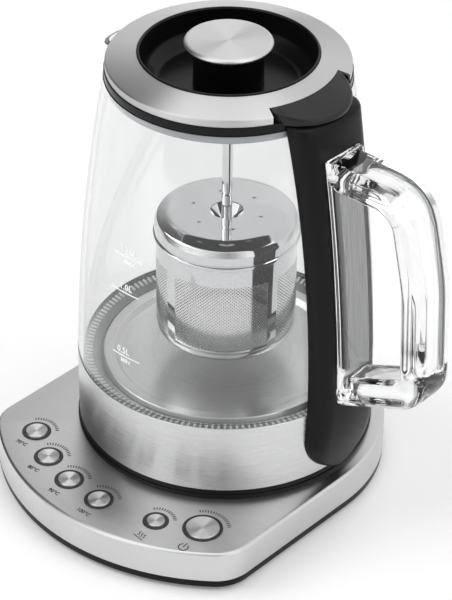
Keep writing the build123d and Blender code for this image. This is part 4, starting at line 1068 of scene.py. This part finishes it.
def make_world():
    """White for the camera, even light for matt surfaces, and panels for metal and glass to mirror.

    The panels stand in a circle round the table, with a dark gap at the left and a dim stretch
    to the right of the front, and one more hangs overhead.
    """
    world = bpy.data.worlds.new("Studio")
    bpy.context.scene.world = world
    world.use_nodes = True
    tree = world.node_tree
    even = tree.nodes["Background"]
    set_inputs(even, Color=(1, 1, 1, 1), Strength=EVEN_LIGHT)
    way = tree.nodes.new("ShaderNodeTexCoord").outputs["Generated"]
    apart = tree.nodes.new("ShaderNodeSeparateXYZ")
    tree.links.new(way, apart.inputs[0])
    round_way = math_node(tree, "ARCTAN2", apart.outputs[1], apart.outputs[0])
    turn = tree.nodes.new("ShaderNodeMapRange")
    set_inputs(turn, From_Min=-pi, From_Max=pi)
    tree.links.new(round_way, turn.inputs["Value"])
    stops = [((direction + 180) / 360, grey(level / BRIGHTEST)) for direction, level in PANELS]
    circle = color_ramp(tree, turn.outputs["Result"], *stops, interpolation="B_SPLINE")
    blend = tree.nodes.new("ShaderNodeMix")
    blend.data_type = "RGBA"
    tree.links.new(soft_step(tree, apart.outputs[2], *OVERHEAD_EDGE), blend.inputs["Factor"])
    tree.links.new(circle, blend.inputs["A"])
    blend.inputs["B"].default_value = (*grey(OVERHEAD / BRIGHTEST), 1)
    panels = tree.nodes.new("ShaderNodeBackground")
    set_inputs(panels, Strength=BRIGHTEST)
    tree.links.new(blend.outputs["Result"], panels.inputs["Color"])
    white = tree.nodes.new("ShaderNodeBackground")
    set_inputs(white, Color=(1, 1, 1, 1))
    path, mirrored = ray_kinds(tree)
    lit = mix_shaders(tree, mirrored, even, panels)
    seen = mix_shaders(tree, path.outputs["Is Camera Ray"], lit, white)
    tree.links.new(seen.outputs[0], tree.nodes["World Output"].inputs["Surface"])


def ray_kinds(tree):
    """The Light Path node, and a mask of the rays that metal and glass send out."""
    path = tree.nodes.new("ShaderNodeLightPath")
    return path, math_node(tree, "MAXIMUM", path.outputs["Is Glossy Ray"],
                           path.outputs["Is Transmission Ray"])


def make_studio():
    """Pale floor and soft lamps that metal doesn't mirror, because the world's panels do that."""
    deselect()
    bpy.ops.mesh.primitive_plane_add(size=8, location=(0, 0, 0))
    floor = settle(bpy.context.object, "floor")
    dress(floor, floor_finish())
    make_world()
    add_lamp("Left softbox", (-0.9, -0.7, 1.1), size=1.0, power=10.0)
    add_lamp("Right softbox", (1.1, 0.3, 1.2), size=0.8, power=5.0)
    add_lamp("Top softbox", (0.0, 0.5, 1.6), size=0.9, power=5.5)


def floor_finish():
    """Pale floor, lifted to white for the camera and for metal and glass, with its shadows kept."""
    material = plain("Floor", grey(0.93), 0.9, Specular_IOR_Level=0.1, Emission_Color=(1, 1, 1, 1))
    tree = material.node_tree
    path, mirrored = ray_kinds(tree)
    lifted = math_node(tree, "MAXIMUM", path.outputs["Is Camera Ray"], mirrored)
    feed(material, math_node(tree, "MULTIPLY", lifted, 0.15), "Emission Strength")
    return material


def add_lamp(name, spot, size, power):
    """Square lamp that faces the middle of the tea maker and isn't mirrored; lengths in metres."""
    deselect()
    bpy.ops.object.light_add(type="AREA", location=spot)
    lamp = bpy.context.object
    lamp.name = name
    lamp.data.size = size
    lamp.data.energy = power
    aim = Vector((0, 0, 0.1)) - Vector(spot)
    lamp.rotation_euler = aim.to_track_quat("-Z", "Y").to_euler()
    lamp.visible_glossy = False


def make_camera():
    """Camera above the front right of the handle, looking down on the tea maker."""
    azimuth, pitch, roll = radians(41.9), radians(34.61), radians(0.63)
    distance, aim = 1.209, Vector((0, 0, 0.0871))
    back = Vector((cos(pitch) * sin(azimuth), -cos(pitch) * cos(azimuth), sin(pitch)))
    level = Vector((cos(azimuth), sin(azimuth), 0))
    above = back.cross(level)
    right = level * cos(roll) + above * sin(roll)
    bpy.ops.object.camera_add(location=aim + back * distance)
    camera = bpy.context.object
    camera.data.sensor_width = 36.0
    camera.data.lens = 149.1
    turn = Matrix((right, back.cross(right), back)).transposed()
    camera.rotation_euler = turn.to_euler()
    bpy.context.scene.camera = camera


make_base_shell()
make_rim()
make_seat()
make_buttons()
make_prints()
make_marks()
make_glass()
make_band()
make_bottom_cover()
make_plate()
make_seal()
make_spine()
make_grip()
make_lid()
make_tab()
make_knob()
make_basket()
make_screens()
make_studio()
make_camera()

bpy.context.scene.view_settings.view_transform = "Standard"
